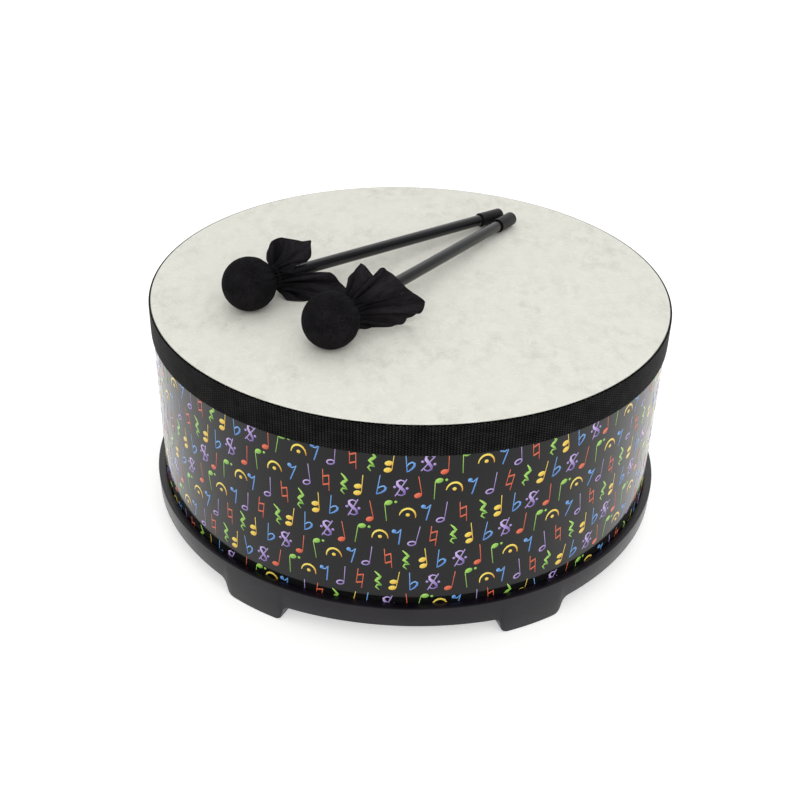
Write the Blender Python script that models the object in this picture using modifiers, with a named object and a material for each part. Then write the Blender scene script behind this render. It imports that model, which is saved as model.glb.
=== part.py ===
"""Floor drum: a fibre shell on a moulded ring with feet, and two cloth-headed mallets lying on its head.

Units are metres and +Z is up. The origin is on the drum's axis at floor level, and -Y is the front.
"""

import math

import bmesh
import bpy
from mathutils import Matrix, Vector

# Drum
HEAD_RADIUS = 0.2032  # playing surface, 16 inches across
DRUM_HEIGHT = 0.188  # floor to playing surface
DRUM_FACETS = 72

# Fits
FIT_GAP = 0.0003  # between pieces that touch
SOCKET_GAP = 0.0004  # between the wrap and the ring that it drops into

# Head: a disc with a collar folded down over the shell
HEAD_THICKNESS = 0.0008
COLLAR_HEIGHT = 0.016
HEAD_EDGE_RADIUS = 0.0016

# Shell: a wound fibre tube with a bearing edge at its top
SHELL_WALL = 0.006
BEARING_ROUND = 0.0015
BEARING_BEVEL = 0.003

# Webbing: a woven strip glued round the top, its ends meeting at the back
WEBBING_WIDTH = 0.0245
WEBBING_THICKNESS = 0.0012
WEBBING_EDGE_RADIUS = 0.0004
WEBBING_DROP = 0.0002  # its top edge below the playing surface
WEBBING_SEAM = 0.0006

# Wrap: a printed film round the shell, its ends meeting at the back
WRAP_THICKNESS = 0.0007
WRAP_TUCK = 0.006  # hidden behind the webbing
WRAP_FOOT_GAP = 0.002  # its lower edge above the shell's
WRAP_SEAM = 0.0005
SEAM_TURN = 90.0  # degrees from +X, at the back

# Base ring: a channel that the shell stands in
RING_TOP = 0.0347
RING_LEDGE = 0.0064  # width of the ledge round the wrap
RING_DRAFT = 0.0012  # how much further in its outer wall is at the floor
RING_EDGE_RADIUS = 0.0012
RING_INNER_EDGE_RADIUS = 0.0006
SEAT_HEIGHT = 0.0203  # the channel's floor
UPSTAND_WALL = 0.0024
UPSTAND_HEIGHT = 0.012  # above the channel's floor

# Feet: tabs of the ring's skirt, hollow from inside, with an arch between each two
FOOT_COUNT = 6
FOOT_TURN = -2.0  # degrees from +X to the first foot
SOLE_WIDTH = 0.046
FOOT_SLOPE = 20.0  # degrees that its sides lean outwards from the vertical
SOLE_CORNER_RADIUS = 0.004
SHOULDER_RADIUS = 0.0065
ARCH_SPRING = 0.015  # height of the ring's lower edge beside a foot
ARCH_RISE = 0.002  # how much higher it is midway between two feet
FOOT_WALL = 0.003
FOOT_RIB = 0.0024
POCKET_ROOF = 0.0145

# Screws that hold the ring to the shell, one behind each foot
SCREW_RADIUS = 0.0015
SCREW_HEAD_RADIUS = 0.003
SCREW_HEAD_HEIGHT = 0.0018
SCREW_BITE = 0.0042  # how deep it goes into the shell
SCREW_TIP = 0.0012
SCREW_RISE = 0.0062  # above the channel's floor
SCREW_FACETS = 12

# Mallets
MALLET_REACH = 0.268  # centre of the ball to the tip of the end cap
BALL_RADIUS = 0.0204  # outside its cloth
HANDLE_RADIUS = 0.00475
HANDLE_EDGE = 0.0008
CAP_WALL = 0.00075
CAP_LENGTH = 0.025
CAP_FLOOR = 0.002
CAP_EDGE_RADIUS = 0.0015
CAP_RIM_EDGE = 0.0003
CORE_GAP = 0.0007  # between the core and the cloth's inside
CORE_RINGS = 10
BORE_DEPTH = 0.026  # handle's hole in the core
MALLET_FACETS = 24

# Mallet cloth: a square drawn over the ball, tied behind it and left as a pleated skirt
CLOTH_THICKNESS = 0.0008
CLOTH_COLUMNS = 40
BALL_ROWS = 8
SKIRT_ROWS = 5
WRAP_ANGLE = 150.0  # degrees of the ball, from its front, that the cloth lies against
NECK_SETBACK = 0.0008  # from the back of the ball to where the cloth is drawn in
NECK_LENGTH = 0.003
FLARE_LEAD = 0.15  # share of the way to the hem that the skirt first runs along the handle
PLEATS = 10
PLEAT_DEPTH = 0.0016
TIE_RADIUS = 0.0009
TIE_FACETS = 6

# Where the mallets lie: the front one has its end cap beside the rear one's
REAR_BALL = (-0.1210, -0.0510)  # place of the rear mallet's ball on the head
CAPS_GAP = 0.0004
CAPS_STAGGER = 0.0025  # how far the front mallet's tip lies beyond the rear one's

# The way each mallet's handle points, in degrees from +X, and the corners of its skirt's hem,
# as distances right of the handle, up from it and beyond the neck
MALLETS = {
    "rear_mallet": {
        "aim": 42.4,
        "hem": [
            (0.024, -0.013, 0.050),
            (0.014, 0.000, 0.042),
            (0.008, 0.008, 0.019),
            (0.001, 0.012, 0.033),
            (-0.004, 0.020, 0.036),
            (-0.016, 0.023, 0.017),
            (-0.019, 0.020, 0.010),
            (-0.020, 0.005, 0.006),
            (-0.014, -0.006, 0.010),
            (-0.024, -0.014, 0.025),
            (0.007, -0.018, 0.006),
            (0.019, -0.018, 0.019),
        ],
    },
    "front_mallet": {
        "aim": 57.8,
        "hem": [
            (0.038, 0.003, 0.041),
            (0.025, 0.012, 0.035),
            (0.006, 0.023, 0.033),
            (0.001, 0.017, 0.027),
            (-0.012, 0.023, 0.029),
            (-0.017, 0.012, 0.022),
            (-0.010, 0.000, 0.014),
            (-0.020, -0.013, 0.027),
            (0.003, -0.018, 0.010),
            (0.024, -0.017, 0.033),
            (0.026, -0.012, 0.037),
            (0.035, -0.007, 0.039),
        ],
    },
}

# Modelling
ARC_SEGMENTS = 3
ARCH_STEPS = 6  # from the side of an arch to its crown
MERGE_DISTANCE = 0.00001
CUT_MARGIN = 0.004  # how far a cutter runs past what it cuts
SHARP_ANGLE = math.radians(35)

# Sizes that follow from those above
HEAD_UNDERSIDE = DRUM_HEIGHT - HEAD_THICKNESS
SHELL_RADIUS = HEAD_RADIUS - HEAD_THICKNESS - FIT_GAP
SHELL_INNER = SHELL_RADIUS - SHELL_WALL
SHELL_TOP = HEAD_UNDERSIDE - FIT_GAP
SHELL_FOOT = SEAT_HEIGHT + FIT_GAP
WEBBING_TOP = DRUM_HEIGHT - WEBBING_DROP
WEBBING_FOOT = WEBBING_TOP - WEBBING_WIDTH
WEBBING_INNER = HEAD_RADIUS + FIT_GAP
WRAP_INNER = SHELL_RADIUS + FIT_GAP
WRAP_RADIUS = WRAP_INNER + WRAP_THICKNESS
SOCKET_RADIUS = WRAP_RADIUS + SOCKET_GAP
RING_RADIUS = SOCKET_RADIUS + RING_LEDGE
UPSTAND_OUTER = SHELL_INNER - FIT_GAP
UPSTAND_INNER = UPSTAND_OUTER - UPSTAND_WALL
NECK_RADIUS = HANDLE_RADIUS + FIT_GAP + CLOTH_THICKNESS + FIT_GAP
NECK_START = BALL_RADIUS + NECK_SETBACK
NECK_END = NECK_START + NECK_LENGTH
CORE_RADIUS = BALL_RADIUS - CLOTH_THICKNESS - CORE_GAP
BORE_RADIUS = HANDLE_RADIUS + FIT_GAP
CAP_BORE = HANDLE_RADIUS + FIT_GAP
CAP_RADIUS = CAP_BORE + CAP_WALL
MALLET_TILT = math.asin((BALL_RADIUS - CAP_RADIUS) / MALLET_REACH)


def new_collection(name, parent):
    """A collection inside another."""
    collection = bpy.data.collections.new(name)
    parent.children.link(collection)
    return collection


def new_material(name, colour, roughness, metallic=0.0):
    """A Principled material with one colour."""
    material = bpy.data.materials.new(name)
    material.use_nodes = True
    shader = material.node_tree.nodes["Principled BSDF"]
    shader.inputs["Base Color"].default_value = (*colour, 1.0)
    shader.inputs["Roughness"].default_value = roughness
    shader.inputs["Metallic"].default_value = metallic
    return material


def new_object(name, mesh, collection, material=None):
    """An object that holds a mesh."""
    piece = bpy.data.objects.new(name, mesh)
    collection.objects.link(piece)
    if material:
        mesh.materials.append(material)
    return piece


def rounded(corners, closed=True, segments=ARC_SEGMENTS):
    """The points of an outline of (x, y, radius) corners, with an arc at each corner that has a radius."""
    places = [Vector(corner[:2]) for corner in corners]
    points = []
    for index, (place, corner) in enumerate(zip(places, corners)):
        radius = corner[2]
        at_end = not closed and index in (0, len(corners) - 1)
        if radius == 0 or at_end:
            points.append(place)
            continue
        back = (places[index - 1] - place).normalized()
        ahead = (places[(index + 1) % len(places)] - place).normalized()
        half = back.angle(ahead) / 2
        centre = place + (back + ahead).normalized() * radius / math.sin(half)
        start = place + back * radius / math.tan(half) - centre
        end = place + ahead * radius / math.tan(half) - centre
        sweep = start.angle_signed(end)
        for step in range(segments + 1):
            angle = -sweep * step / segments
            points.append(centre + Matrix.Rotation(angle, 2) @ start)
    return [tuple(point) for point in points]


def settle(piece):
    """Make a piece's modifiers its mesh, and shade it smooth with sharp edges."""
    graph = bpy.context.evaluated_depsgraph_get()
    mesh = bpy.data.meshes.new_from_object(piece.evaluated_get(graph))
    mesh.name = piece.name
    piece.modifiers.clear()
    piece.data = mesh
    mesh.shade_smooth()
    mesh.set_sharp_from_angle(angle=SHARP_ANGLE)


def turned(name, profile, facets, collection, material=None, closed=True):
    """A profile of (radius, height) points, outer side running down, turned about Z."""
    count = len(profile)
    edges = [(index, (index + 1) % count) for index in range(count if closed else count - 1)]
    mesh = bpy.data.meshes.new(name)
    mesh.from_pydata([(radius, 0.0, height) for radius, height in profile], edges, [])
    piece = new_object(name, mesh, collection, material)
    screw = piece.modifiers.new("Turn", "SCREW")
    screw.steps = facets
    screw.render_steps = facets
    screw.use_merge_vertices = True
    screw.merge_threshold = MERGE_DISTANCE
    settle(piece)
    return piece


def hide_cutter(cutter):
    """Show a cutter as wire and keep it out of renders."""
    cutter.hide_render = True
    cutter.display_type = "WIRE"


def radial_cutter(name, columns, inner, outer, turn, collection):
    """A cutter between two radii, through columns of (angle, low, high), turned about Z by turn degrees."""
    shape = bmesh.new()
    frames = []
    for angle, low, high in columns:
        corners = [(inner, low), (outer, low), (outer, high), (inner, high)]
        points = [(radius * math.cos(angle), radius * math.sin(angle), height) for radius, height in corners]
        frames.append([shape.verts.new(point) for point in points])
    shape.faces.new(frames[0])
    shape.faces.new(frames[-1])
    for near, far in zip(frames, frames[1:]):
        for side in range(len(near)):
            ahead = (side + 1) % len(near)
            shape.faces.new((near[side], far[side], far[ahead], near[ahead]))
    bmesh.ops.remove_doubles(shape, verts=shape.verts, dist=MERGE_DISTANCE)
    bmesh.ops.recalc_face_normals(shape, faces=shape.faces)
    mesh = bpy.data.meshes.new(name)
    shape.to_mesh(mesh)
    shape.free()
    cutter = new_object(name, mesh, collection)
    cutter.rotation_euler.z = math.radians(turn)
    hide_cutter(cutter)


def cut(piece, cutters):
    """Cut a collection of cutters out of a piece."""
    boolean = piece.modifiers.new(cutters.name, "BOOLEAN")
    boolean.operation = "DIFFERENCE"
    boolean.solver = "EXACT"
    boolean.operand_type = "COLLECTION"
    boolean.collection = cutters
    settle(piece)


def foot_turns():
    """Each foot's direction in degrees from +X."""
    return [FOOT_TURN + 360.0 * index / FOOT_COUNT for index in range(FOOT_COUNT)]


def cut_seam(piece, width, cutters):
    """Part a band at the back, where the ends of its strip meet."""
    seam = new_collection(piece.name + "_seam", cutters)
    bpy.ops.mesh.primitive_cube_add(size=1.0)
    cutter = bpy.context.object
    cutter.name = piece.name + "_seam_cutter"
    for collection in cutter.users_collection:
        collection.objects.unlink(cutter)
    seam.objects.link(cutter)
    turn = math.radians(SEAM_TURN)
    cutter.location = (WRAP_RADIUS * math.cos(turn), WRAP_RADIUS * math.sin(turn), DRUM_HEIGHT / 2)
    cutter.scale = (2 * SHELL_WALL, width, 2 * DRUM_HEIGHT)
    cutter.rotation_euler.z = turn
    hide_cutter(cutter)
    cut(piece, seam)


def build_shell(parts, material, screw_holes):
    """The tube that everything else is fixed to."""
    profile = rounded(
        [
            (SHELL_RADIUS, SHELL_TOP, BEARING_ROUND),
            (SHELL_RADIUS, SHELL_FOOT, 0),
            (SHELL_INNER, SHELL_FOOT, 0),
            (SHELL_INNER, SHELL_TOP - BEARING_BEVEL, 0),
            (SHELL_INNER + BEARING_BEVEL, SHELL_TOP, 0),
        ]
    )
    shell = turned("shell", profile, DRUM_FACETS, parts, material)
    cut(shell, screw_holes)


def build_drumhead(parts, material):
    """The playing disc and its collar."""
    inner_radius = HEAD_RADIUS - HEAD_THICKNESS
    collar_foot = DRUM_HEIGHT - COLLAR_HEIGHT
    inner_edge = HEAD_EDGE_RADIUS - HEAD_THICKNESS
    profile = rounded(
        [
            (0.0, DRUM_HEIGHT, 0),
            (HEAD_RADIUS, DRUM_HEIGHT, HEAD_EDGE_RADIUS),
            (HEAD_RADIUS, collar_foot, 0),
            (inner_radius, collar_foot, 0),
            (inner_radius, HEAD_UNDERSIDE, inner_edge),
            (0.0, HEAD_UNDERSIDE, 0),
        ],
        closed=False,
    )
    turned("drumhead", profile, DRUM_FACETS, parts, material, closed=False)


def band_profile(inner, outer, foot, top, edge_radius):
    """The section of a band round the drum, its edges rounded."""
    corners = [(outer, top), (outer, foot), (inner, foot), (inner, top)]
    return rounded([(*corner, edge_radius) for corner in corners], segments=2)


def build_webbing(parts, material, cutters):
    """The woven trim that covers the collar and the wrap's top edge."""
    outer = WEBBING_INNER + WEBBING_THICKNESS
    profile = band_profile(WEBBING_INNER, outer, WEBBING_FOOT, WEBBING_TOP, WEBBING_EDGE_RADIUS)
    webbing = turned("webbing", profile, DRUM_FACETS, parts, material)
    cut_seam(webbing, WEBBING_SEAM, cutters)


def build_wrap(parts, material, cutters):
    """The film round the shell, from inside the ring's channel to behind the webbing."""
    profile = band_profile(
        WRAP_INNER, WRAP_RADIUS, SHELL_FOOT + WRAP_FOOT_GAP, WEBBING_FOOT + WRAP_TUCK, 0
    )
    wrap = turned("wrap", profile, DRUM_FACETS, parts, material)
    cut_seam(wrap, WRAP_SEAM, cutters)


def foot_half_width(height):
    """Half a foot's width round the ring at a height above the floor."""
    return SOLE_WIDTH / 2 + height * math.tan(math.radians(FOOT_SLOPE))


def arch_columns():
    """The opening between two feet, as columns of (angle, low, high) from one side to the other."""
    pitch = 2 * math.pi * RING_RADIUS / FOOT_COUNT
    sole_side = pitch / 2 - foot_half_width(0)
    spring_side = pitch / 2 - foot_half_width(ARCH_SPRING)
    corners = [
        (sole_side + CUT_MARGIN, 0, 0),
        (sole_side, 0, SOLE_CORNER_RADIUS),
        (spring_side, ARCH_SPRING, SHOULDER_RADIUS),
        (0, ARCH_SPRING, 0),
    ]
    half = rounded(corners, closed=False)[:-1]
    bow_start = half[-1][0]
    for step in range(1, ARCH_STEPS + 1):
        share = step / ARCH_STEPS
        half.append((bow_start * (1 - share), ARCH_SPRING + ARCH_RISE * share * (2 - share)))
    other_half = [(-across, height) for across, height in reversed(half[:-1])]
    return [(across / RING_RADIUS, -CUT_MARGIN, height) for across, height in half + other_half]


def pocket_columns(side):
    """One of the two hollows in a foot, on the side given by its sign."""
    floor_side = foot_half_width(FOOT_WALL) - FOOT_WALL
    roof_side = foot_half_width(POCKET_ROOF) - FOOT_WALL
    columns = [
        (FOOT_RIB / 2, FOOT_WALL, POCKET_ROOF),
        (floor_side, FOOT_WALL, POCKET_ROOF),
        (roof_side, POCKET_ROOF, POCKET_ROOF),
    ]
    return [(side * across / RING_RADIUS, low, high) for across, low, high in columns]


def build_base_ring(parts, material, screw_holes, cutters):
    """The moulded ring: its channel, its ledge and its feet."""
    upstand_top = SEAT_HEIGHT + UPSTAND_HEIGHT
    edge = RING_INNER_EDGE_RADIUS
    profile = rounded(
        [
            (RING_RADIUS, RING_TOP, RING_EDGE_RADIUS),
            (RING_RADIUS - RING_DRAFT, 0.0, RING_EDGE_RADIUS),
            (UPSTAND_INNER, 0.0, RING_EDGE_RADIUS),
            (UPSTAND_INNER, upstand_top, edge),
            (UPSTAND_OUTER, upstand_top, edge),
            (UPSTAND_OUTER, SEAT_HEIGHT, 0),
            (SOCKET_RADIUS, SEAT_HEIGHT, 0),
            (SOCKET_RADIUS, RING_TOP, edge),
        ],
        segments=2,
    )
    ring = turned("base_ring", profile, DRUM_FACETS, parts, material)
    arches = new_collection("arch_cutters", cutters)
    pockets = new_collection("pocket_cutters", cutters)
    inner = UPSTAND_INNER - CUT_MARGIN
    outer = RING_RADIUS + CUT_MARGIN
    pocket_end = RING_RADIUS - RING_DRAFT - FOOT_WALL
    half_pitch = 180.0 / FOOT_COUNT
    for number, turn in enumerate(foot_turns(), start=1):
        radial_cutter(f"arch_cutter_{number}", arch_columns(), inner, outer, turn + half_pitch, arches)
        for side in (-1, 1):
            name = f"pocket_cutter_{number}_{side}"
            radial_cutter(name, pocket_columns(side), inner, pocket_end, turn, pockets)
    cut(ring, arches)
    cut(ring, pockets)
    cut(ring, screw_holes)


def radial_frame(turn, radius, height):
    """A frame on a radius of the drum whose Z axis points at the drum's axis."""
    angle = math.radians(turn)
    inwards = Vector((-math.cos(angle), -math.sin(angle), 0.0))
    up = Vector((0.0, 0.0, 1.0))
    axes = Matrix((up.cross(inwards), up, inwards)).transposed().to_4x4()
    return Matrix.Translation(-inwards * radius + up * height) @ axes


def build_screw_holes(cutters):
    """Cutters for the screws' holes through the upstand and into the shell."""
    holes = new_collection("screw_hole_cutters", cutters)
    radius = SCREW_RADIUS + FIT_GAP
    depth = SHELL_INNER + SCREW_BITE + FIT_GAP - UPSTAND_INNER
    profile = [(0.0, CUT_MARGIN), (radius, CUT_MARGIN), (radius, -depth), (0.0, -depth)]
    for number, turn in enumerate(foot_turns(), start=1):
        hole = turned(f"screw_hole_cutter_{number}", profile, SCREW_FACETS, holes, closed=False)
        hole.matrix_world = radial_frame(turn, UPSTAND_INNER, SEAT_HEIGHT + SCREW_RISE)
        hide_cutter(hole)
    return holes


def build_screws(parts, material):
    """Short pan-head screws, driven outwards from inside the drum."""
    seat = FIT_GAP
    point = UPSTAND_INNER - SHELL_INNER - SCREW_BITE
    profile = rounded(
        [
            (0.0, seat + SCREW_HEAD_HEIGHT, 0),
            (SCREW_HEAD_RADIUS, seat + SCREW_HEAD_HEIGHT, SCREW_HEAD_HEIGHT / 2),
            (SCREW_HEAD_RADIUS, seat, 0),
            (SCREW_RADIUS, seat, 0),
            (SCREW_RADIUS, point + SCREW_TIP, 0),
            (0.0, point, 0),
        ],
        closed=False,
        segments=2,
    )
    for number, turn in enumerate(foot_turns(), start=1):
        screw = turned(f"base_screw_{number}", profile, SCREW_FACETS, parts, material, closed=False)
        screw.matrix_world = radial_frame(turn, UPSTAND_INNER, SEAT_HEIGHT + SCREW_RISE)


def flat_aim(place):
    """The way a mallet's handle points, seen from above."""
    aim = math.radians(place["aim"])
    return Vector((math.cos(aim), math.sin(aim)))


def ball_places():
    """Each ball's place on the head, the front one worked back from its end cap."""
    rear = flat_aim(MALLETS["rear_mallet"])
    front = flat_aim(MALLETS["front_mallet"])
    flat_reach = MALLET_REACH * math.cos(MALLET_TILT)
    rear_tip = Vector(REAR_BALL) + rear * flat_reach
    sideways = Vector((rear.y, -rear.x)) * (2 * CAP_RADIUS + CAPS_GAP)
    front_tip = rear_tip + sideways + rear * CAPS_STAGGER
    return {"rear_mallet": Vector(REAR_BALL), "front_mallet": front_tip - front * flat_reach}


def mallet_frame(place, ball):
    """The frame at a mallet's ball, with Z along the handle and Y as near up as that allows."""
    along = (flat_aim(place) * math.cos(MALLET_TILT)).to_3d()
    along.z = -math.sin(MALLET_TILT)
    left = Vector((0.0, 0.0, 1.0)).cross(along).normalized()
    axes = Matrix((left, along.cross(left), along)).transposed().to_4x4()
    centre = Vector((*ball, DRUM_HEIGHT + FIT_GAP + BALL_RADIUS))
    return Matrix.Translation(centre) @ axes


def ball_arc(radius, start, end, rings):
    """Points of a ball's outline at +X, from one angle to another in degrees from +Z."""
    points = []
    for ring in range(rings + 1):
        angle = math.radians(start + (end - start) * ring / rings)
        points.append((radius * math.sin(angle), radius * math.cos(angle)))
    return points


def build_core(name, parts, material):
    """The ball under the cloth, with a blind hole for the handle."""
    mouth = math.degrees(math.asin(BORE_RADIUS / CORE_RADIUS))
    surface = ball_arc(CORE_RADIUS, mouth, 180.0, CORE_RINGS)
    floor = surface[0][1] - BORE_DEPTH
    profile = [(0.0, floor), (BORE_RADIUS, floor), *surface[:-1], (0.0, -CORE_RADIUS)]
    return turned(name, profile, MALLET_FACETS, parts, material, closed=False)


def build_handle(name, parts, material):
    """A straight dowel from the core's hole to the end cap."""
    mouth = math.sqrt(CORE_RADIUS**2 - BORE_RADIUS**2)
    start = mouth - BORE_DEPTH + FIT_GAP
    end = MALLET_REACH - CAP_FLOOR - FIT_GAP
    profile = rounded(
        [
            (0.0, end, 0),
            (HANDLE_RADIUS, end, HANDLE_EDGE),
            (HANDLE_RADIUS, start, HANDLE_EDGE),
            (0.0, start, 0),
        ],
        closed=False,
        segments=1,
    )
    return turned(name, profile, MALLET_FACETS, parts, material, closed=False)


def build_end_cap(name, parts, material):
    """A vinyl cup pushed over the handle's end."""
    mouth = MALLET_REACH - CAP_LENGTH
    profile = rounded(
        [
            (0.0, MALLET_REACH, 0),
            (CAP_RADIUS, MALLET_REACH, CAP_EDGE_RADIUS),
            (CAP_RADIUS, mouth, CAP_RIM_EDGE),
            (CAP_BORE, mouth, 0),
            (CAP_BORE, MALLET_REACH - CAP_FLOOR, 0),
            (0.0, MALLET_REACH - CAP_FLOOR, 0),
        ],
        closed=False,
    )
    return turned(name, profile, MALLET_FACETS, parts, material, closed=False)


def build_tie(name, parts, material):
    """The cord ring that draws the cloth in behind the ball."""
    middle = (NECK_START + NECK_END) / 2
    centre = NECK_RADIUS + FIT_GAP + TIE_RADIUS
    profile = []
    for step in range(TIE_FACETS):
        angle = -2 * math.pi * step / TIE_FACETS
        profile.append((centre + TIE_RADIUS * math.cos(angle), middle + TIE_RADIUS * math.sin(angle)))
    return turned(name, profile, MALLET_FACETS, parts, material)


def hem_points(corners):
    """Evenly spaced points round a hem, one for each column of the cloth, with each corner among them."""
    places = [Vector((-right, up, NECK_END + beyond)) for right, up, beyond in corners]
    runs = list(zip(places, places[1:] + places[:1]))
    lengths = [(end - start).length for start, end in runs]
    starts = [sum(lengths[:index]) for index in range(len(lengths))]
    distances = [sum(lengths) * column / CLOTH_COLUMNS for column in range(CLOTH_COLUMNS)]
    for start in starts:
        distances[round(start / sum(lengths) * CLOTH_COLUMNS) % CLOTH_COLUMNS] = start
    points = []
    for distance in distances:
        index = max(number for number, start in enumerate(starts) if start <= distance)
        start, end = runs[index]
        points.append(start.lerp(end, (distance - starts[index]) / lengths[index]))
    return points


def above_head(point):
    """A point of a skirt, lifted where the cloth would reach into the drum's head on either side."""
    axis_height = BALL_RADIUS + FIT_GAP - point.z * math.sin(MALLET_TILT)
    lowest = (FIT_GAP + CLOTH_THICKNESS - axis_height) / math.cos(MALLET_TILT)
    return Vector((point.x, max(point.y, lowest), point.z))


def cloth_rows(hem):
    """The cloth's points, ring by ring from the front of the ball to the hem."""
    first = math.atan2(hem[0][1], hem[0][0])
    turns = [first + 2 * math.pi * column / CLOTH_COLUMNS for column in range(CLOTH_COLUMNS)]
    spokes = [Vector((-math.cos(turn), math.sin(turn), 0.0)) for turn in turns]
    handle_way = Vector((0.0, 0.0, 1.0))
    rings = ball_arc(BALL_RADIUS, 180.0, 180.0 - WRAP_ANGLE, BALL_ROWS)[1:]
    rings += [(NECK_RADIUS, NECK_START), (NECK_RADIUS, NECK_END)]
    rows = [[spoke * radius + handle_way * along for spoke in spokes] for radius, along in rings]
    neck = rows[-1]
    ends = hem_points(hem)
    for row in range(1, SKIRT_ROWS + 1):
        share = row / SKIRT_ROWS
        points = []
        for spoke, turn, start, end in zip(spokes, turns, neck, ends):
            lead = start + handle_way * (end - start).length * FLARE_LEAD
            point = start.lerp(lead, share).lerp(lead.lerp(end, share), share)
            pleat = PLEAT_DEPTH * share * math.cos(PLEATS * (turn - first))
            points.append(above_head(point + spoke * pleat))
        rows.append(points)
    return rows


def build_cloth(name, hem, parts, material):
    """The square of cloth over the ball, with its gathered neck and its skirt."""
    shape = bmesh.new()
    front = shape.verts.new((0.0, 0.0, -BALL_RADIUS))
    rows = [[shape.verts.new(point) for point in row] for row in cloth_rows(hem)]
    for column in range(CLOTH_COLUMNS):
        ahead = (column + 1) % CLOTH_COLUMNS
        shape.faces.new((front, rows[0][column], rows[0][ahead]))
        for near, far in zip(rows, rows[1:]):
            shape.faces.new((near[column], far[column], far[ahead], near[ahead]))
    mesh = bpy.data.meshes.new(name)
    shape.to_mesh(mesh)
    shape.free()
    cloth = new_object(name, mesh, parts, material)
    wall = cloth.modifiers.new("Cloth", "SOLIDIFY")
    wall.thickness = CLOTH_THICKNESS
    wall.offset = -1.0
    settle(cloth)
    return cloth


def build_mallet(name, place, ball, parts, materials):
    """One mallet, its pieces carried by an empty at the centre of its ball."""
    carrier = bpy.data.objects.new(name + "_frame", None)
    parts.objects.link(carrier)
    carrier.matrix_world = mallet_frame(place, ball)
    pieces = [
        build_core(name + "_core", parts, materials["core"]),
        build_handle(name + "_handle", parts, materials["handle"]),
        build_end_cap(name + "_end_cap", parts, materials["end_cap"]),
        build_cloth(name + "_cloth", place["hem"], parts, materials["cloth"]),
        build_tie(name + "_tie", parts, materials["tie"]),
    ]
    for piece in pieces:
        piece.parent = carrier


def build_materials():
    """Each finish, by the piece that it is on."""
    return {
        "shell": new_material("wound_fibre", (0.20, 0.17, 0.14), 0.85),
        "drumhead": new_material("fibre_head", (0.79, 0.79, 0.72), 0.80),
        "webbing": new_material("black_webbing", (0.012, 0.012, 0.013), 0.75),
        "wrap": new_material("printed_film", (0.03, 0.03, 0.03), 0.12),
        "base_ring": new_material("moulded_base", (0.028, 0.027, 0.031), 0.45),
        "screw": new_material("zinc_screw", (0.62, 0.62, 0.60), 0.35, 1.0),
        "core": new_material("turned_core", (0.62, 0.47, 0.30), 0.70),
        "handle": new_material("handle_paint", (0.022, 0.022, 0.025), 0.40),
        "end_cap": new_material("vinyl_cap", (0.016, 0.016, 0.017), 0.55),
        "cloth": new_material("mallet_cloth", (0.010, 0.009, 0.011), 0.90),
        "tie": new_material("tie_cord", (0.010, 0.010, 0.010), 0.85),
    }


def main():
    """Build the drum and its mallets in an empty scene."""
    for leftover in list(bpy.data.objects):
        bpy.data.objects.remove(leftover, do_unlink=True)
    parts = new_collection("floor_drum", bpy.context.scene.collection)
    cutters = new_collection("floor_drum_cutters", bpy.context.scene.collection)
    materials = build_materials()
    screw_holes = build_screw_holes(cutters)
    build_shell(parts, materials["shell"], screw_holes)
    build_drumhead(parts, materials["drumhead"])
    build_webbing(parts, materials["webbing"], cutters)
    build_wrap(parts, materials["wrap"], cutters)
    build_base_ring(parts, materials["base_ring"], screw_holes, cutters)
    build_screws(parts, materials["screw"])
    balls = ball_places()
    for name, place in MALLETS.items():
        build_mallet(name, place, balls[name], parts, materials)


main()
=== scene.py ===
"""Looks of a floor drum: fibre head, webbing trim, printed wrap, moulded base ring and two mallets."""
import logging
import math
from dataclasses import dataclass
from enum import Enum
from functools import cache
from typing import Any, Mapping, Sequence

import bmesh
import bpy
import numpy as np
from mathutils import Matrix, Vector


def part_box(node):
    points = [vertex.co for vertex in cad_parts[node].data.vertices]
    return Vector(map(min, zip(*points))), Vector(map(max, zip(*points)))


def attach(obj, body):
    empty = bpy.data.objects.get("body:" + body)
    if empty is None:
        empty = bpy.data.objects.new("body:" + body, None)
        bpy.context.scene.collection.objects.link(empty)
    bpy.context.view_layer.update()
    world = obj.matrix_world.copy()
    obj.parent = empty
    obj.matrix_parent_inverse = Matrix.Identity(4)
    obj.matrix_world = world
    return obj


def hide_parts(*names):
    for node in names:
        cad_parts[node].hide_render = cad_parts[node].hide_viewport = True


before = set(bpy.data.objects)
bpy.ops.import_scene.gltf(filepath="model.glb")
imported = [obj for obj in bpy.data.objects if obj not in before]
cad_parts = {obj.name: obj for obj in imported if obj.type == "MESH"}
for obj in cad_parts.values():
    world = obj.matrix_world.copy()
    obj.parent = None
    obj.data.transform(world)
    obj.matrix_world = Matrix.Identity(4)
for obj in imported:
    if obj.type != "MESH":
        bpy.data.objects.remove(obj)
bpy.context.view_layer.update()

LOG = logging.getLogger("floor_drum")
MERGE_DISTANCE = 1e-6
TINY = 1e-12
SHARP_ANGLE = math.radians(32)

Point = tuple[float, float]
Triple = tuple[float, float, float]
Corner = Triple
Colour = Triple


def srgb(red: int, green: int, blue: int) -> Colour:
    """A screen colour, 0 to 255, as the linear colour that a shader takes."""
    shares = (level / 255 for level in (red, green, blue))
    return tuple(
        share / 12.92 if share <= 0.04045 else ((share + 0.055) / 1.055) ** 2.4 for share in shares
    )


def round_radius(node: str) -> float:
    """The outer radius of a round CAD node."""
    low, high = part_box(node)
    return (high.x - low.x) / 2


# Outlines and meshes


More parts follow.
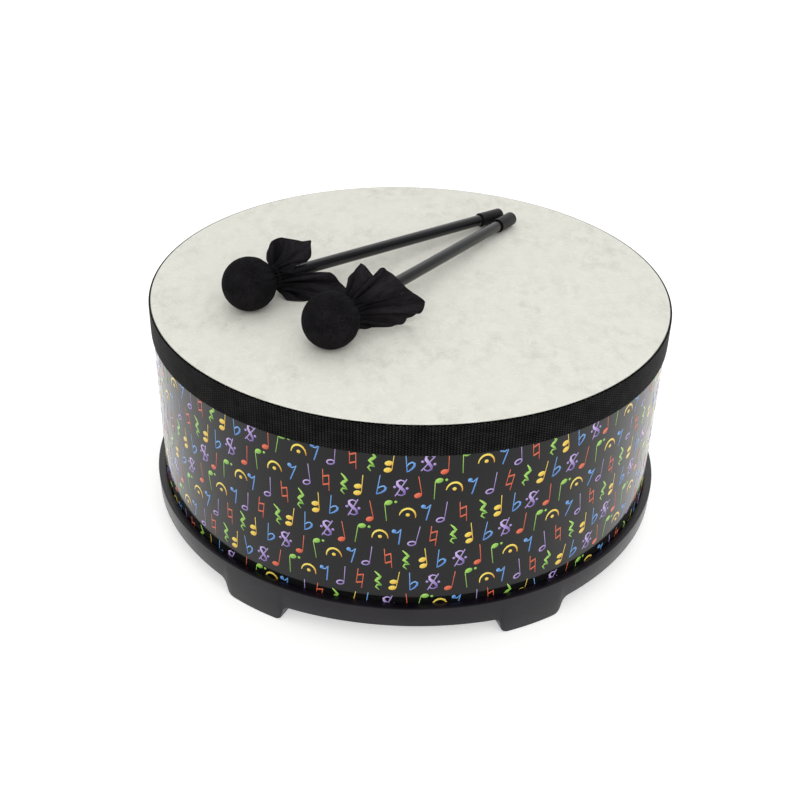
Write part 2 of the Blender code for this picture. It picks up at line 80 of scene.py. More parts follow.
def rounded(corners: Sequence[Corner], closed: bool = True, steps: int = 4) -> list[Point]:
    """Round an outline's corners with arcs.

    Args:
        corners: x, y and radius of each corner, in order.
        closed: whether the last corner joins the first.
        steps: straight pieces in each arc.

    Returns:
        The outline's points, as many for any radii that aren't nought.
    """
    places = [Vector(corner[:2]) for corner in corners]
    outline: list[Point] = []
    for index, (place, corner) in enumerate(zip(places, corners)):
        radius = corner[2]
        at_end = not closed and index in (0, len(places) - 1)
        if not radius or at_end:
            outline.append(tuple(place))
            continue
        before = (places[index - 1] - place).normalized()
        after = (places[(index + 1) % len(places)] - place).normalized()
        half_turn = before.angle(after) / 2
        centre = place + (before + after).normalized() * (radius / math.sin(half_turn))
        start = place + before * (radius / math.tan(half_turn)) - centre
        end = place + after * (radius / math.tan(half_turn)) - centre
        outline += [tuple(centre + start.slerp(end, step / steps) * radius) for step in range(steps + 1)]
    return outline


def tidy(mesh: bpy.types.Mesh) -> bpy.types.Mesh:
    """Close a mesh's seams and poles, turn its faces outwards and shade it smooth.

    Args:
        mesh: the mesh, which is worked on in place.

    Returns:
        The same mesh, with its sharp edges kept sharp.
    """
    shape = bmesh.new()
    shape.from_mesh(mesh)
    bmesh.ops.remove_doubles(shape, verts=shape.verts, dist=MERGE_DISTANCE)
    bmesh.ops.recalc_face_normals(shape, faces=shape.faces)
    shape.to_mesh(mesh)
    shape.free()
    mesh.shade_smooth()
    mesh.set_sharp_from_angle(angle=SHARP_ANGLE)
    return mesh


def mark(mesh: bpy.types.Mesh, name: str, values: np.ndarray) -> None:
    """Store a vector for each vertex, for a material to read."""
    attribute = mesh.attributes.new(name, "FLOAT_VECTOR", "POINT")
    attribute.data.foreach_set("vector", np.asarray(values, np.float32).ravel())


def skin(name: str, points: np.ndarray, closed: bool, flat: np.ndarray | None = None) -> bpy.types.Mesh:
    """A surface through rows of points that each run once round.

    Args:
        name: the mesh's name.
        points: the points, as rows by columns by three.
        closed: whether the last row joins the first.
        flat: where each point lay before the surface was formed, as two values, and how far it
            stands up in a fold, from nought to one, for painted fold shade, if a material needs these.

    Returns:
        The mesh, tidied.
    """
    rows, columns, _ = points.shape
    index = np.arange(rows * columns).reshape(rows, columns)
    if closed:
        index = np.vstack([index, index[:1]])
    ahead = np.roll(index, -1, axis=1)
    faces = np.stack([index[:-1], ahead[:-1], ahead[1:], index[1:]], axis=-1).reshape(-1, 4)
    mesh = bpy.data.meshes.new(name)
    mesh.from_pydata(points.reshape(-1, 3).tolist(), [], faces.tolist())
    if flat is not None:
        mark(mesh, "flat", flat)
    return tidy(mesh)


def lathe(name: str, outline: Sequence[Point], facets: int, closed: bool = True) -> bpy.types.Mesh:
    """Turn an outline about the Z axis.

    Args:
        name: the mesh's name.
        outline: radius and height of each point.
        facets: flat sides round the axis.
        closed: whether the outline is a loop; if not, it starts and ends on the axis.

    Returns:
        The turned mesh.
    """
    turns = np.linspace(0, 2 * math.pi, facets, endpoint=False)
    radii, heights = np.array(outline).T[:, :, None]
    points = np.stack([radii * np.cos(turns), radii * np.sin(turns), heights + 0 * turns], axis=-1)
    return skin(name, points, closed)


def new_object(name: str, data: bpy.types.ID) -> bpy.types.Object:
    """An object in the scene's own collection.

    Args:
        name: the object's name.
        data: its mesh, curve, lamp or camera.

    Returns:
        The object.
    """
    made = bpy.data.objects.new(name, data)
    bpy.context.scene.collection.objects.link(made)
    return made


def settled(host: bpy.types.Object) -> bpy.types.Mesh:
    """The plain mesh that an object's modifiers give.

    Args:
        host: the object, which is removed.

    Returns:
        The mesh, under the object's name.
    """
    bpy.context.view_layer.update()
    evaluated = host.evaluated_get(bpy.context.evaluated_depsgraph_get())
    mesh = bpy.data.meshes.new_from_object(evaluated)
    mesh.name = host.name
    bpy.data.objects.remove(host)
    return mesh


def modified(mesh: bpy.types.Mesh, kind: str, **settings: Any) -> bpy.types.Mesh:
    """Apply one modifier to a mesh.

    Args:
        mesh: the mesh to work on.
        kind: the modifier's type.
        settings: the modifier's properties.

    Returns:
        The worked mesh.
    """
    host = new_object(mesh.name, mesh)
    modifier = host.modifiers.new(kind.title(), kind)
    for name, value in settings.items():
        setattr(modifier, name, value)
    return settled(host)


def carved(mesh: bpy.types.Mesh, tool: bpy.types.Mesh) -> bpy.types.Mesh:
    """Cut one mesh out of another.

    Args:
        mesh: the mesh to cut.
        tool: the shape to take out of it.

    Returns:
        The cut mesh.
    """
    cutter = new_object("cutter", tool)
    result = modified(mesh, "BOOLEAN", operation="DIFFERENCE", solver="EXACT", object=cutter)
    bpy.data.objects.remove(cutter)
    return tidy(result)


# Node trees


def pick(sockets: Sequence[bpy.types.NodeSocket], name: str | int) -> bpy.types.NodeSocket:
    """A node's socket in use, by its name or by its place among them."""
    shown = [socket for socket in sockets if socket.enabled]
    return shown[name] if isinstance(name, int) else next(socket for socket in shown if socket.name == name)


class Wire:
    """An output socket, with arithmetic that adds Math nodes to its tree."""

    def __init__(self, graph: "Graph", socket: bpy.types.NodeSocket) -> None:
        """Hold a socket and the graph that it is in."""
        self.graph = graph
        self.socket = socket

    def __getitem__(self, name: str) -> "Wire":
        """Another output of the same node."""
        return Wire(self.graph, pick(self.socket.node.outputs, name))

    def __add__(self, other: "Wire | float") -> "Wire":
        """This value plus another."""
        return self.graph.math("ADD", self, other)

    def __sub__(self, other: "Wire | float") -> "Wire":
        """This value less another."""
        return self.graph.math("SUBTRACT", self, other)

    def __rsub__(self, other: float) -> "Wire":
        """A number less this value."""
        return self.graph.math("SUBTRACT", other, self)

    def __mul__(self, other: "Wire | float") -> "Wire":
        """This value times another."""
        return self.graph.math("MULTIPLY", self, other)

    def __rmul__(self, other: float) -> "Wire":
        """A number times this value."""
        return self.graph.math("MULTIPLY", other, self)

    def __truediv__(self, other: "Wire | float") -> "Wire":
        """This value shared by another."""
        return self.graph.math("DIVIDE", self, other)

    def __mod__(self, other: "Wire | float") -> "Wire":
        """What is left of this value after whole steps of another."""
        return self.graph.math("FLOORED_MODULO", self, other)

    def __gt__(self, other: "Wire | float") -> "Wire":
        """One where this value is above another, nought elsewhere."""
        return self.graph.math("GREATER_THAN", self, other)

    def __lt__(self, other: "Wire | float") -> "Wire":
        """One where this value is below another, nought elsewhere."""
        return self.graph.math("LESS_THAN", self, other)

    def floor(self) -> "Wire":
        """The whole part of this value."""
        return self.graph.math("FLOOR", self)

    def sine(self) -> "Wire":
        """The sine of this value."""
        return self.graph.math("SINE", self)

    def cosine(self) -> "Wire":
        """The cosine of this value."""
        return self.graph.math("COSINE", self)

    def equals(self, other: "Wire | float") -> "Wire":
        """One where this whole number is another, nought elsewhere."""
        return self.graph.math("COMPARE", self, other, 0.25)


class Graph:
    """A node tree, with one way to add a node."""

    def __init__(self, tree: bpy.types.NodeTree) -> None:
        """Hold the tree."""
        self.tree = tree

    def feed(self, node: bpy.types.Node, sockets: Mapping[str | int, Any]) -> None:
        """Set or link a node's inputs.

        Args:
            node: the node.
            sockets: a value, a wire or a list of wires for each input, by its name or place.
        """
        for name, value in sockets.items():
            socket = pick(node.inputs, name)
            wires = value if isinstance(value, list) else [value]
            for wire in wires:
                if isinstance(wire, Wire):
                    self.tree.links.new(wire.socket, socket)
                else:
                    socket.default_value = (*wire, 1.0) if socket.type == "RGBA" else wire

    def node(self, kind: str, sockets: Mapping[str | int, Any] | None = None, **settings: Any) -> Wire:
        """Add a node.

        Args:
            kind: the node's type.
            sockets: values or wires for its inputs.
            settings: its properties, which are set first.

        Returns:
            The first of its outputs in use.
        """
        node = self.tree.nodes.new(kind)
        for name, value in settings.items():
            setattr(node, name, value)
        self.feed(node, sockets or {})
        return Wire(self, pick(node.outputs, 0))

    def math(self, operation: str, *terms: "Wire | float") -> Wire:
        """A Math node on wires or numbers."""
        return self.node("ShaderNodeMath", dict(enumerate(terms)), operation=operation)

    def vector_math(self, operation: str, *terms: Any) -> Wire:
        """A Vector Math node on wires or vectors."""
        return self.node("ShaderNodeVectorMath", dict(enumerate(terms)), operation=operation)

    def combine(self, x: "Wire | float", y: "Wire | float", z: "Wire | float") -> Wire:
        """A vector of three values."""
        return self.node("ShaderNodeCombineXYZ", {"X": x, "Y": y, "Z": z})

    def split(self, vector: Wire) -> Wire:
        """A vector's three values; its outputs are X, Y and Z."""
        return self.node("ShaderNodeSeparateXYZ", {"Vector": vector})

    def spread(
        self, value: Wire, low: float, high: float, to_low: float = 0.0, to_high: float = 1.0
    ) -> Wire:
        """A value stretched from one range to another, and held there."""
        limits = {"From Min": low, "From Max": high, "To Min": to_low, "To Max": to_high}
        return self.node("ShaderNodeMapRange", {"Value": value, **limits})


class Surface(Graph):
    """A material, with the patterns that the finishes share."""

    def __init__(self, name: str) -> None:
        """Start a material with a Principled shader.

        Args:
            name: the material's name.
        """
        self.material = bpy.data.materials.new(name)
        self.material.use_nodes = True
        super().__init__(self.material.node_tree)
        self.shader = self.tree.nodes["Principled BSDF"]

    def place(self) -> Wire:
        """The point's place in the drum's own frame."""
        return self.node("ShaderNodeTexCoord")["Object"]

    def marked(self, name: str) -> Wire:
        """An attribute of the mesh; its outputs are Fac, Vector and Color."""
        return self.node("ShaderNodeAttribute", attribute_name=name)

    def mapped(self, vector: Wire, scale: Sequence[float], turn: float = 0.0) -> Wire:
        """Coordinates turned about Z, then stretched."""
        turned = self.node("ShaderNodeMapping", {"Vector": vector, "Rotation": (0.0, 0.0, turn)})
        return self.vector_math("MULTIPLY", turned, tuple(scale))

    def noise(self, vector: Wire, scale: float, detail: float = 2.0) -> Wire:
        """A cloudy pattern from nought to one; scale is in lumps to the metre."""
        return self.node("ShaderNodeTexNoise", {"Vector": vector, "Scale": scale, "Detail": detail})

    def mix(self, factor: Wire, first: Any, second: Any) -> Wire:
        """A colour between two others."""
        return self.node("ShaderNodeMix", {"Factor": factor, "A": first, "B": second}, data_type="RGBA")

    def bump(self, height: Wire, depth: float) -> Wire:
        """A normal that follows a height of nought to one, depth metres high."""
        return self.node("ShaderNodeBump", {"Strength": 1.0, "Distance": depth, "Height": height})


class Kind(Enum):
    """What an input of a Geometry Nodes tree takes."""

    NUMBER = "NodeSocketFloat"
    COUNT = "NodeSocketInt"
    OBJECT = "NodeSocketObject"
    MATERIAL = "NodeSocketMaterial"


class Recipe(Graph):
    """A Geometry Nodes tree with named inputs, which gives a plain mesh."""

    def __init__(self, name: str, inputs: Mapping[str, Kind]) -> None:
        """Start a tree.

        Args:
            name: the tree's name.
            inputs: what each input takes, by its name; the finish is added to them.
        """
        super().__init__(bpy.data.node_groups.new(name, "GeometryNodeTree"))
        self.identifiers: dict[str, str] = {}
        for label, kind in {**inputs, "Finish": Kind.MATERIAL}.items():
            socket = self.tree.interface.new_socket(label, in_out="INPUT", socket_type=kind.value)
            self.identifiers[label] = socket.identifier
        self.tree.interface.new_socket("Mesh", in_out="OUTPUT", socket_type="NodeSocketGeometry")
        self.given = self.node("NodeGroupInput")

    def object_shape(self, label: str) -> Wire:
        """The geometry of the object given for an input."""
        return self.node("GeometryNodeObjectInfo", {"Object": self.given[label]})["Geometry"]

    def close(self, geometry: Wire) -> None:
        """End the tree with real geometry in the finish's material.

        Args:
            geometry: what the tree has made.
        """
        real = self.node("GeometryNodeRealizeInstances", {"Geometry": geometry})
        finish = {"Geometry": real, "Material": self.given["Finish"]}
        dressed = self.node("GeometryNodeSetMaterial", finish)
        end = self.tree.nodes.new("NodeGroupOutput")
        self.tree.links.new(dressed.socket, end.inputs["Mesh"])

    def mesh(self, name: str, values: Mapping[str, Any]) -> bpy.types.Mesh:
        """Run the tree.

        Args:
            name: the mesh's name.
            values: each input's value, by its name.

        Returns:
            The plain mesh.
        """
        host = new_object(name, bpy.data.meshes.new(name))
        modifier = host.modifiers.new("Recipe", "NODES")
        modifier.node_group = self.tree
        for label, value in values.items():
            modifier[self.identifiers[label]] = value
        return settled(host)


# Finishes


@dataclass(frozen=True)
class Finish:
    """A finish, and the record's material slot that it belongs to."""

    slot: str

    def paint(self, surface: Surface) -> dict[str, Any]:
        """Set out the finish.

        Args:
            surface: the material to paint.

        Returns:
            The shader's values and wires.
        """
        raise NotImplementedError

    @cache
    def material(self) -> bpy.types.Material:
        """Paint the finish, once only.

        Returns:
            Its material.
        """
        surface = Surface(self.slot)
        surface.feed(surface.shader, self.paint(surface))
        return surface.material


@dataclass(frozen=True)
class FibreSheet(Finish):
    """Cream felted fibre with soft grey clouds and crossing hairs."""

    slot: str = "fibre_head"
    cream: Colour = srgb(238, 237, 227)
    grey: Colour = srgb(204, 204, 194)
    cloud_size: float = 0.008
    cloud_stretch: Triple = (1.0, 0.6, 1.0)
    patch_size: float = 0.045
    hair_length: float = 0.010
    hair_width: float = 0.0011
    hair_turns: tuple[float, ...] = (0.2, 1.1, 2.3)
    hair_share: float = 0.333
    swirl_scale: float = 70.0
    swirl_reach: float = 0.014
    relief: float = 0.00025

    def paint(self, surface: Surface) -> dict[str, Any]:
        """Clouds and hairs in the colour, hairs in the relief.

        Args:
            surface: the material to paint.

        Returns:
            The shader's values and wires.
        """
        place = surface.place()
        clouds = surface.noise(surface.mapped(place, self.cloud_stretch), 1 / self.cloud_size, 4.0)
        patches = surface.noise(place, 1 / self.patch_size, 2.0)
        swirl = surface.noise(place, self.swirl_scale, 1.0)["Color"]
        shift = surface.vector_math("MULTIPLY", swirl, (self.swirl_reach, self.swirl_reach, 0.0))
        bent = surface.vector_math("ADD", place, shift)
        lengths = (1 / self.hair_length, 1 / self.hair_width, 1 / self.hair_width)
        hairs: Wire | float = 0.0
        for turn in self.hair_turns:
            lines = surface.noise(surface.mapped(bent, lengths, turn), 1.0, 1.0)
            hairs = lines * self.hair_share + hairs
        dust = surface.spread(clouds, 0.42, 0.8) * surface.spread(patches, 0.36, 0.62, 0.25, 1.0)
        light = surface.spread(hairs, 0.5, 0.62)
        tone = dust * (1 - light * 0.6) * 0.6 + (1 - light) * 0.22
        return {
            "Base Color": surface.mix(tone, self.cream, self.grey),
            "Roughness": 0.8,
            "Specular IOR Level": 0.3,
            "Normal": surface.bump(hairs, self.relief),
        }


@dataclass(frozen=True)
class WovenTrim(Finish):
    """Black webbing; its weave is in the mesh, its yarns are in the relief, and its colour holds painted
    shade and highlight.
    """

    slot: str = "black_webbing"
    # Painted shade in the hollows and a painted highlight on the crests.
    deep: Colour = (0.0006, 0.0006, 0.0006)
    crest: Colour = (0.052, 0.050, 0.050)
    yarn: float = 0.0003
    wear_scale: float = 90.0
    upright_scale: float = 460.0
    along_scale: float = 560.0
    relief: float = 0.00008

    def paint(self, surface: Surface) -> dict[str, Any]:
        """A painted highlight on the crests, painted shade in the hollows between them, and fine yarns.

        Args:
            surface: the material to paint.

        Returns:
            The shader's values and wires.
        """
        place = surface.place()
        wear = surface.noise(place, self.wear_scale, 3.0)
        yarns = surface.noise(surface.mapped(place, (1.0, 1.0, 0.35)), 1 / self.yarn, 1.0)
        upright = surface.noise(surface.mapped(place, (1.0, 1.0, 0.12)), self.upright_scale, 1.0)
        along = surface.noise(surface.mapped(place, (0.15, 0.15, 1.0)), self.along_scale, 1.0)
        uneven = surface.spread(upright, 0.35, 0.65, 0.85, 1.1)
        uneven = uneven * surface.spread(along, 0.35, 0.65, 0.8, 1.15)
        raised = surface.marked("raised")["Fac"]
        # The raised share paints the crests lighter and the hollows darker: painted highlight and painted
        # shade.
        tone = raised * surface.spread(wear, 0.3, 0.7, 0.6, 1.0) * uneven + (yarns - 0.5) * 0.12
        return {
            "Base Color": surface.mix(surface.spread(tone, 0.05, 1.0), self.deep, self.crest),
            "Roughness": surface.spread(yarns, 0.3, 0.7, 0.6, 0.8),
            "Specular IOR Level": 0.03,
            "Sheen Weight": 0.12,
            "Sheen Roughness": 0.35,
            "Normal": surface.bump(yarns, self.relief),
        }


FILM_COAT = {"Coat Weight": 0.42, "Coat Roughness": 0.08}


@dataclass(frozen=True)
class GlossFilm(Finish):
    """Near-black gloss film with faint handling marks."""

    slot: str = "printed_film"
    black: Colour = (0.0045, 0.0045, 0.0048)
    grey: Colour = (0.0075, 0.0075, 0.008)
    roughness: float = 0.13
    tone_scale: float = 60.0
    smear_scale: float = 28.0

    def paint(self, surface: Surface) -> dict[str, Any]:
        """An even tone, and a gloss that varies where it was handled.

        Args:
            surface: the material to paint.

        Returns:
            The shader's values and wires.
        """
        place = surface.place()
        tone = surface.noise(place, self.tone_scale, 2.0)
        smears = surface.noise(surface.mapped(place, (1.0, 1.0, 2.5)), self.smear_scale, 3.0)
        clean, smeared = self.roughness - 0.025, self.roughness + 0.035
        return {
            "Base Color": surface.mix(tone, self.black, self.grey),
            "Roughness": surface.spread(smears, 0.3, 0.75, clean, smeared),
            "Specular IOR Level": 0.13,
            **FILM_COAT,
        }


@dataclass(frozen=True)
class PrintInk(Finish):
    """Ink under the film's gloss, darker at the lower right of each mark."""

    slot: str = "printed_film"
    light: Colour = (1.0, 1.0, 1.0)
    dark: Colour = (0.5, 0.5, 0.5)
    dot_scale: float = 2500.0

    def paint(self, surface: Surface) -> dict[str, Any]:
        """A blend across each mark, with the print's fine dots.

        Args:
            surface: the material to paint.

        Returns:
            The shader's values and wires.
        """
        dots = surface.noise(surface.place(), self.dot_scale, 1.0)
        shade = surface.marked("shade")["Fac"] + (dots - 0.5) * 0.25
        return {
            "Base Color": surface.mix(surface.spread(shade, 0.0, 1.0), self.dark, self.light),
            "Roughness": 0.16,
            "Specular IOR Level": 0.2,
            **FILM_COAT,
        }


@dataclass(frozen=True)
class SatinMoulding(Finish):
    """Black moulded plastic with a fine spark-eroded grain and dulled patches."""

    slot: str = "moulded_base"
    black: Colour = (0.0042, 0.0028, 0.0056)
    rubbed: Colour = (0.0104, 0.0076, 0.0128)
    grain: float = 0.0005
    patch_scale: float = 32.0
    relief: float = 0.00006

    def paint(self, surface: Surface) -> dict[str, Any]:
        """Grain in the relief, rubbed patches in the colour and the gloss.

        Args:
            surface: the material to paint.

        Returns:
            The shader's values and wires.
        """
        place = surface.place()
        grain = surface.noise(place, 1 / self.grain, 2.0)
        patches = surface.noise(surface.mapped(place, (1.0, 1.0, 3.0)), self.patch_scale, 3.0)
        rubbed = surface.spread(patches, 0.4, 0.75)
        return {
            "Base Color": surface.mix(rubbed, self.black, self.rubbed),
            "Roughness": surface.spread(grain, 0.3, 0.7, 0.24, 0.34) + rubbed * 0.06,
            "Specular IOR Level": 0.4,
            "Normal": surface.bump(grain, self.relief),
        }


@dataclass(frozen=True)
class RodPaint(Finish):
    """Satin black rod with faint lengthwise draw marks."""

    slot: str = "handle_paint"
    black: Colour = (0.0045, 0.0047, 0.0056)
    grey: Colour = (0.010, 0.0105, 0.0125)
    line_scales: Triple = (1800.0, 1800.0, 25.0)
    scuff_scale: float = 120.0
    relief: float = 0.00003

    def paint(self, surface: Surface) -> dict[str, Any]:
        """Draw marks along the rod, and scuffs.

        Args:
            surface: the material to paint.

        Returns:
            The shader's values and wires.
        """
        along = surface.marked("local")["Vector"]
        lines = surface.noise(surface.mapped(along, self.line_scales), 1.0, 2.0)
        scuffs = surface.noise(along, self.scuff_scale, 3.0)
        return {
            "Base Color": surface.mix(surface.spread(lines, 0.3, 0.7), self.black, self.grey),
            "Roughness": surface.spread(scuffs, 0.35, 0.7, 0.17, 0.27),
            "Specular IOR Level": 0.4,
            "Normal": surface.bump(lines, self.relief),
        }


@dataclass(frozen=True)
class DippedVinyl(Finish):
    """Soft black vinyl, slightly uneven from dipping."""

    slot: str = "vinyl_cap"
    black: Colour = (0.006, 0.006, 0.0064)
    bloom: Colour = (0.014, 0.014, 0.0148)
    peel_scale: float = 900.0
    bloom_scale: float = 180.0
    relief: float = 0.00005

    def paint(self, surface: Surface) -> dict[str, Any]:
        """A dull bloom in patches, and a shallow orange peel.

        Args:
            surface: the material to paint.

        Returns:
            The shader's values and wires.
        """
        place = surface.marked("local")["Vector"]
        peel = surface.noise(place, self.peel_scale, 2.0)
        bloom = surface.noise(place, self.bloom_scale, 3.0)
        return {
            "Base Color": surface.mix(surface.spread(bloom, 0.35, 0.7), self.black, self.bloom),
            "Roughness": surface.spread(bloom, 0.3, 0.7, 0.42, 0.56),
            "Specular IOR Level": 0.25,
            "Normal": surface.bump(peel, self.relief),
        }


@dataclass(frozen=True)
class WovenCloth(Finish):
    """Black plain-woven cotton that follows the flat cloth's threads."""

    slot: str = "mallet_cloth"
    black: Colour = (0.0017, 0.0015, 0.0018)
    faded: Colour = (0.0315, 0.0288, 0.0328)
    thread: float = 0.00052
    slub_scales: tuple[float, float] = (120.0, 1400.0)
    fade_scale: float = 70.0
    # Between these reaches from the middle the colour is lifted: a painted sheen towards the hem.
    neck_reach: float = 0.062
    hem_reach: float = 0.088
    hem_wear: float = 2.2
    relief: float = 0.00016

    def paint(self, surface: Surface) -> dict[str, Any]:
        """Crossing threads in the relief; slubs, fading, painted shade in the fold valleys and a painted
        sheen towards the hem in the colour.

        Args:
            surface: the material to paint.

        Returns:
            The shader's values and wires.
        """
        flat = surface.marked("flat")["Vector"]
        axes = surface.split(flat)
        step = math.pi / self.thread
        weave = (axes["X"] * step).sine() * (axes["Y"] * step).sine() * 0.5 + 0.5
        along, across = self.slub_scales
        warp = surface.noise(surface.mapped(flat, (along, across, 0.0)), 1.0, 2.0)
        weft = surface.noise(surface.mapped(flat, (across, along, 0.0)), 1.0, 2.0)
        slubs = surface.spread(warp, 0.5, 0.8) + surface.spread(weft, 0.5, 0.8)
        clouds = surface.noise(surface.mapped(flat, (self.fade_scale, self.fade_scale, 0.0)), 1.0, 3.0)
        fading = surface.spread(clouds, 0.35, 0.7, 0.0, 0.3)
        # Painted sheen: the cloth is painted lighter towards the hem.
        squared = axes["X"] * axes["X"] + axes["Y"] * axes["Y"]
        hem_sheen = surface.spread(squared, self.neck_reach**2, self.hem_reach**2, 1.0, self.hem_wear)
        # Painted shade: the fold valleys are painted darker than the ridges.
        folds = surface.spread(axes["Z"], 0.0, 0.8, 0.05, 1.0)
        tone = (slubs * 0.32 + fading * 0.6 + weave * 0.26) * folds * hem_sheen
        return {
            "Base Color": surface.mix(tone, self.black, self.faded),
            "Roughness": 0.8,
            "Specular IOR Level": 0.04,
            "Normal": surface.bump(weave * 0.7 + slubs * 0.3, self.relief),
        }


@dataclass(frozen=True)
class WoundFibre(Finish):
    """Raw brown fibre tube, wound from strips with butted edges."""

    slot: str = "wound_fibre"
    light: Colour = (0.26, 0.21, 0.155)
    dark: Colour = (0.16, 0.13, 0.10)
    strip: float = 0.11
    climb: float = 0.34
    fibre_scale: float = 260.0
    relief: float = 0.0003

    def paint(self, surface: Surface) -> dict[str, Any]:
        """Spiral joins and pressed fibres.

        Args:
            surface: the material to paint.

        Returns:
            The shader's values and wires.
        """
        place = surface.place()
        axes = surface.split(place)
        turn = surface.math("ARCTAN2", axes["Y"], axes["X"])
        across = (axes["Z"] + turn * (self.climb / (2 * math.pi))) / self.strip
        edge = surface.math("PINGPONG", across, 0.5)
        join = 1 - surface.spread(edge, 0.0, 0.012)
        fibres = surface.noise(surface.mapped(place, (1.0, 1.0, 4.0)), self.fibre_scale, 4.0)
        tone = surface.spread(fibres, 0.3, 0.7) * 0.7 + join * 0.6
        return {
            "Base Color": surface.mix(tone, self.light, self.dark),
            "Roughness": 0.85,
            "Specular IOR Level": 0.25,
            "Normal": surface.bump(fibres * 0.5 - join, self.relief),
        }


@dataclass(frozen=True)
class ZincPlate(Finish):
    """Bright zinc plate with a slight spangle."""

    slot: str = "zinc_screw"
    bright: Colour = (0.66, 0.66, 0.65)
    dull: Colour = (0.46, 0.46, 0.44)
    spangle_scale: float = 1400.0

    def paint(self, surface: Surface) -> dict[str, Any]:
        """Spangle in the colour and the gloss.

        Args:
            surface: the material to paint.

        Returns:
            The shader's values and wires.
        """
        spangle = surface.noise(surface.place(), self.spangle_scale, 3.0)
        return {
            "Base Color": surface.mix(surface.spread(spangle, 0.3, 0.7), self.bright, self.dull),
            "Metallic": 1.0,
            "Roughness": surface.spread(spangle, 0.3, 0.7, 0.26, 0.42),
        }


@dataclass(frozen=True)
class BareWood(Finish):
    """Pale turned wood with growth rings."""

    slot: str = "turned_core"
    early: Colour = (0.62, 0.47, 0.30)
    late: Colour = (0.42, 0.28, 0.16)
    pore_scale: float = 1500.0
    waver_scale: float = 60.0
    ring_turns: float = 2600.0
    relief: float = 0.0001

    def paint(self, surface: Surface) -> dict[str, Any]:
        """Rings across the ball, and pores.

        Args:
            surface: the material to paint.

        Returns:
            The shader's values and wires.
        """
        place = surface.place()
        pores = surface.noise(surface.mapped(place, (1.0, 1.0, 0.1)), self.pore_scale, 2.0)
        waver = surface.noise(place, self.waver_scale, 2.0)
        axes = surface.split(place)
        across = (axes["X"] * 0.8 + axes["Y"] * 0.6) * self.ring_turns
        rings = (across + waver * 9.0).sine() * 0.5 + 0.5
        return {
            "Base Color": surface.mix(rings * 0.6 + pores * 0.3, self.early, self.late),
            "Roughness": 0.7,
            "Normal": surface.bump(pores, self.relief),
        }


@dataclass(frozen=True)
class WaxedThread(Finish):
    """Black waxed thread with a twist."""

    slot: str = "tie_cord"
    black: Colour = (0.006, 0.006, 0.006)
    waxed: Colour = (0.010, 0.010, 0.011)
    yarn_scale: float = 3500.0
    lay: float = 0.6
    relief: float = 0.0001

    def paint(self, surface: Surface) -> dict[str, Any]:
        """Twisted yarns, and wax in patches.

        Args:
            surface: the material to paint.

        Returns:
            The shader's values and wires.
        """
        place = surface.marked("local")["Vector"]
        yarns = surface.noise(surface.mapped(place, (1.0, 1.0, 0.4), self.lay), self.yarn_scale, 1.0)
        return {
            "Base Color": surface.mix(yarns, self.black, self.waxed),
            "Roughness": surface.spread(yarns, 0.3, 0.7, 0.5, 0.7),
            "Specular IOR Level": 0.15,
            "Normal": surface.bump(yarns, self.relief),
        }


def add_piece(name: str, mesh: bpy.types.Mesh, finish: Finish, body: str, *nodes: str) -> bpy.types.Object:
    """Make a mesh a piece of the drum.

    Args:
        name: the piece's name.
        mesh: its mesh, in the drum's frame.
        finish: what it is finished in.
        body: the body that it rides on.
        nodes: the CAD nodes that it stands for.

    Returns:
        The piece.
    """
    piece = new_object(name, mesh)
    mesh.materials.clear()
    mesh.materials.append(finish.material())
    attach(piece, body)
    if nodes:
        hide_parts(*nodes)
    LOG.info("%s: %d faces on %s", name, len(mesh.polygons), body)
    return piece


# Drum


@dataclass
class Head:
    """The fibre sheet over the top of the drum, with its collar."""

    radius: float = round_radius("drumhead")
    top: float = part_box("drumhead")[1].z
    collar_foot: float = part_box("drumhead")[0].z
    thickness: float = 0.0008
    edge_radius: float = 0.0010
    facets: int = 240

    def build(self) -> None:
        """Turn the sheet and its collar in one piece."""
        inner = self.radius - self.thickness
        underside = self.top - self.thickness
        outline = rounded(
            [
                (0.0, self.top, 0),
                (self.radius, self.top, self.edge_radius),
                (self.radius, self.collar_foot, 0),
                (inner, self.collar_foot, 0),
                (inner, underside, self.edge_radius - self.thickness),
                (0.0, underside, 0),
            ],
            closed=False,
        )
        mesh = lathe("fibre_head", outline, self.facets, closed=False)
        add_piece("fibre_head", mesh, FibreSheet(), "drum", "drumhead")


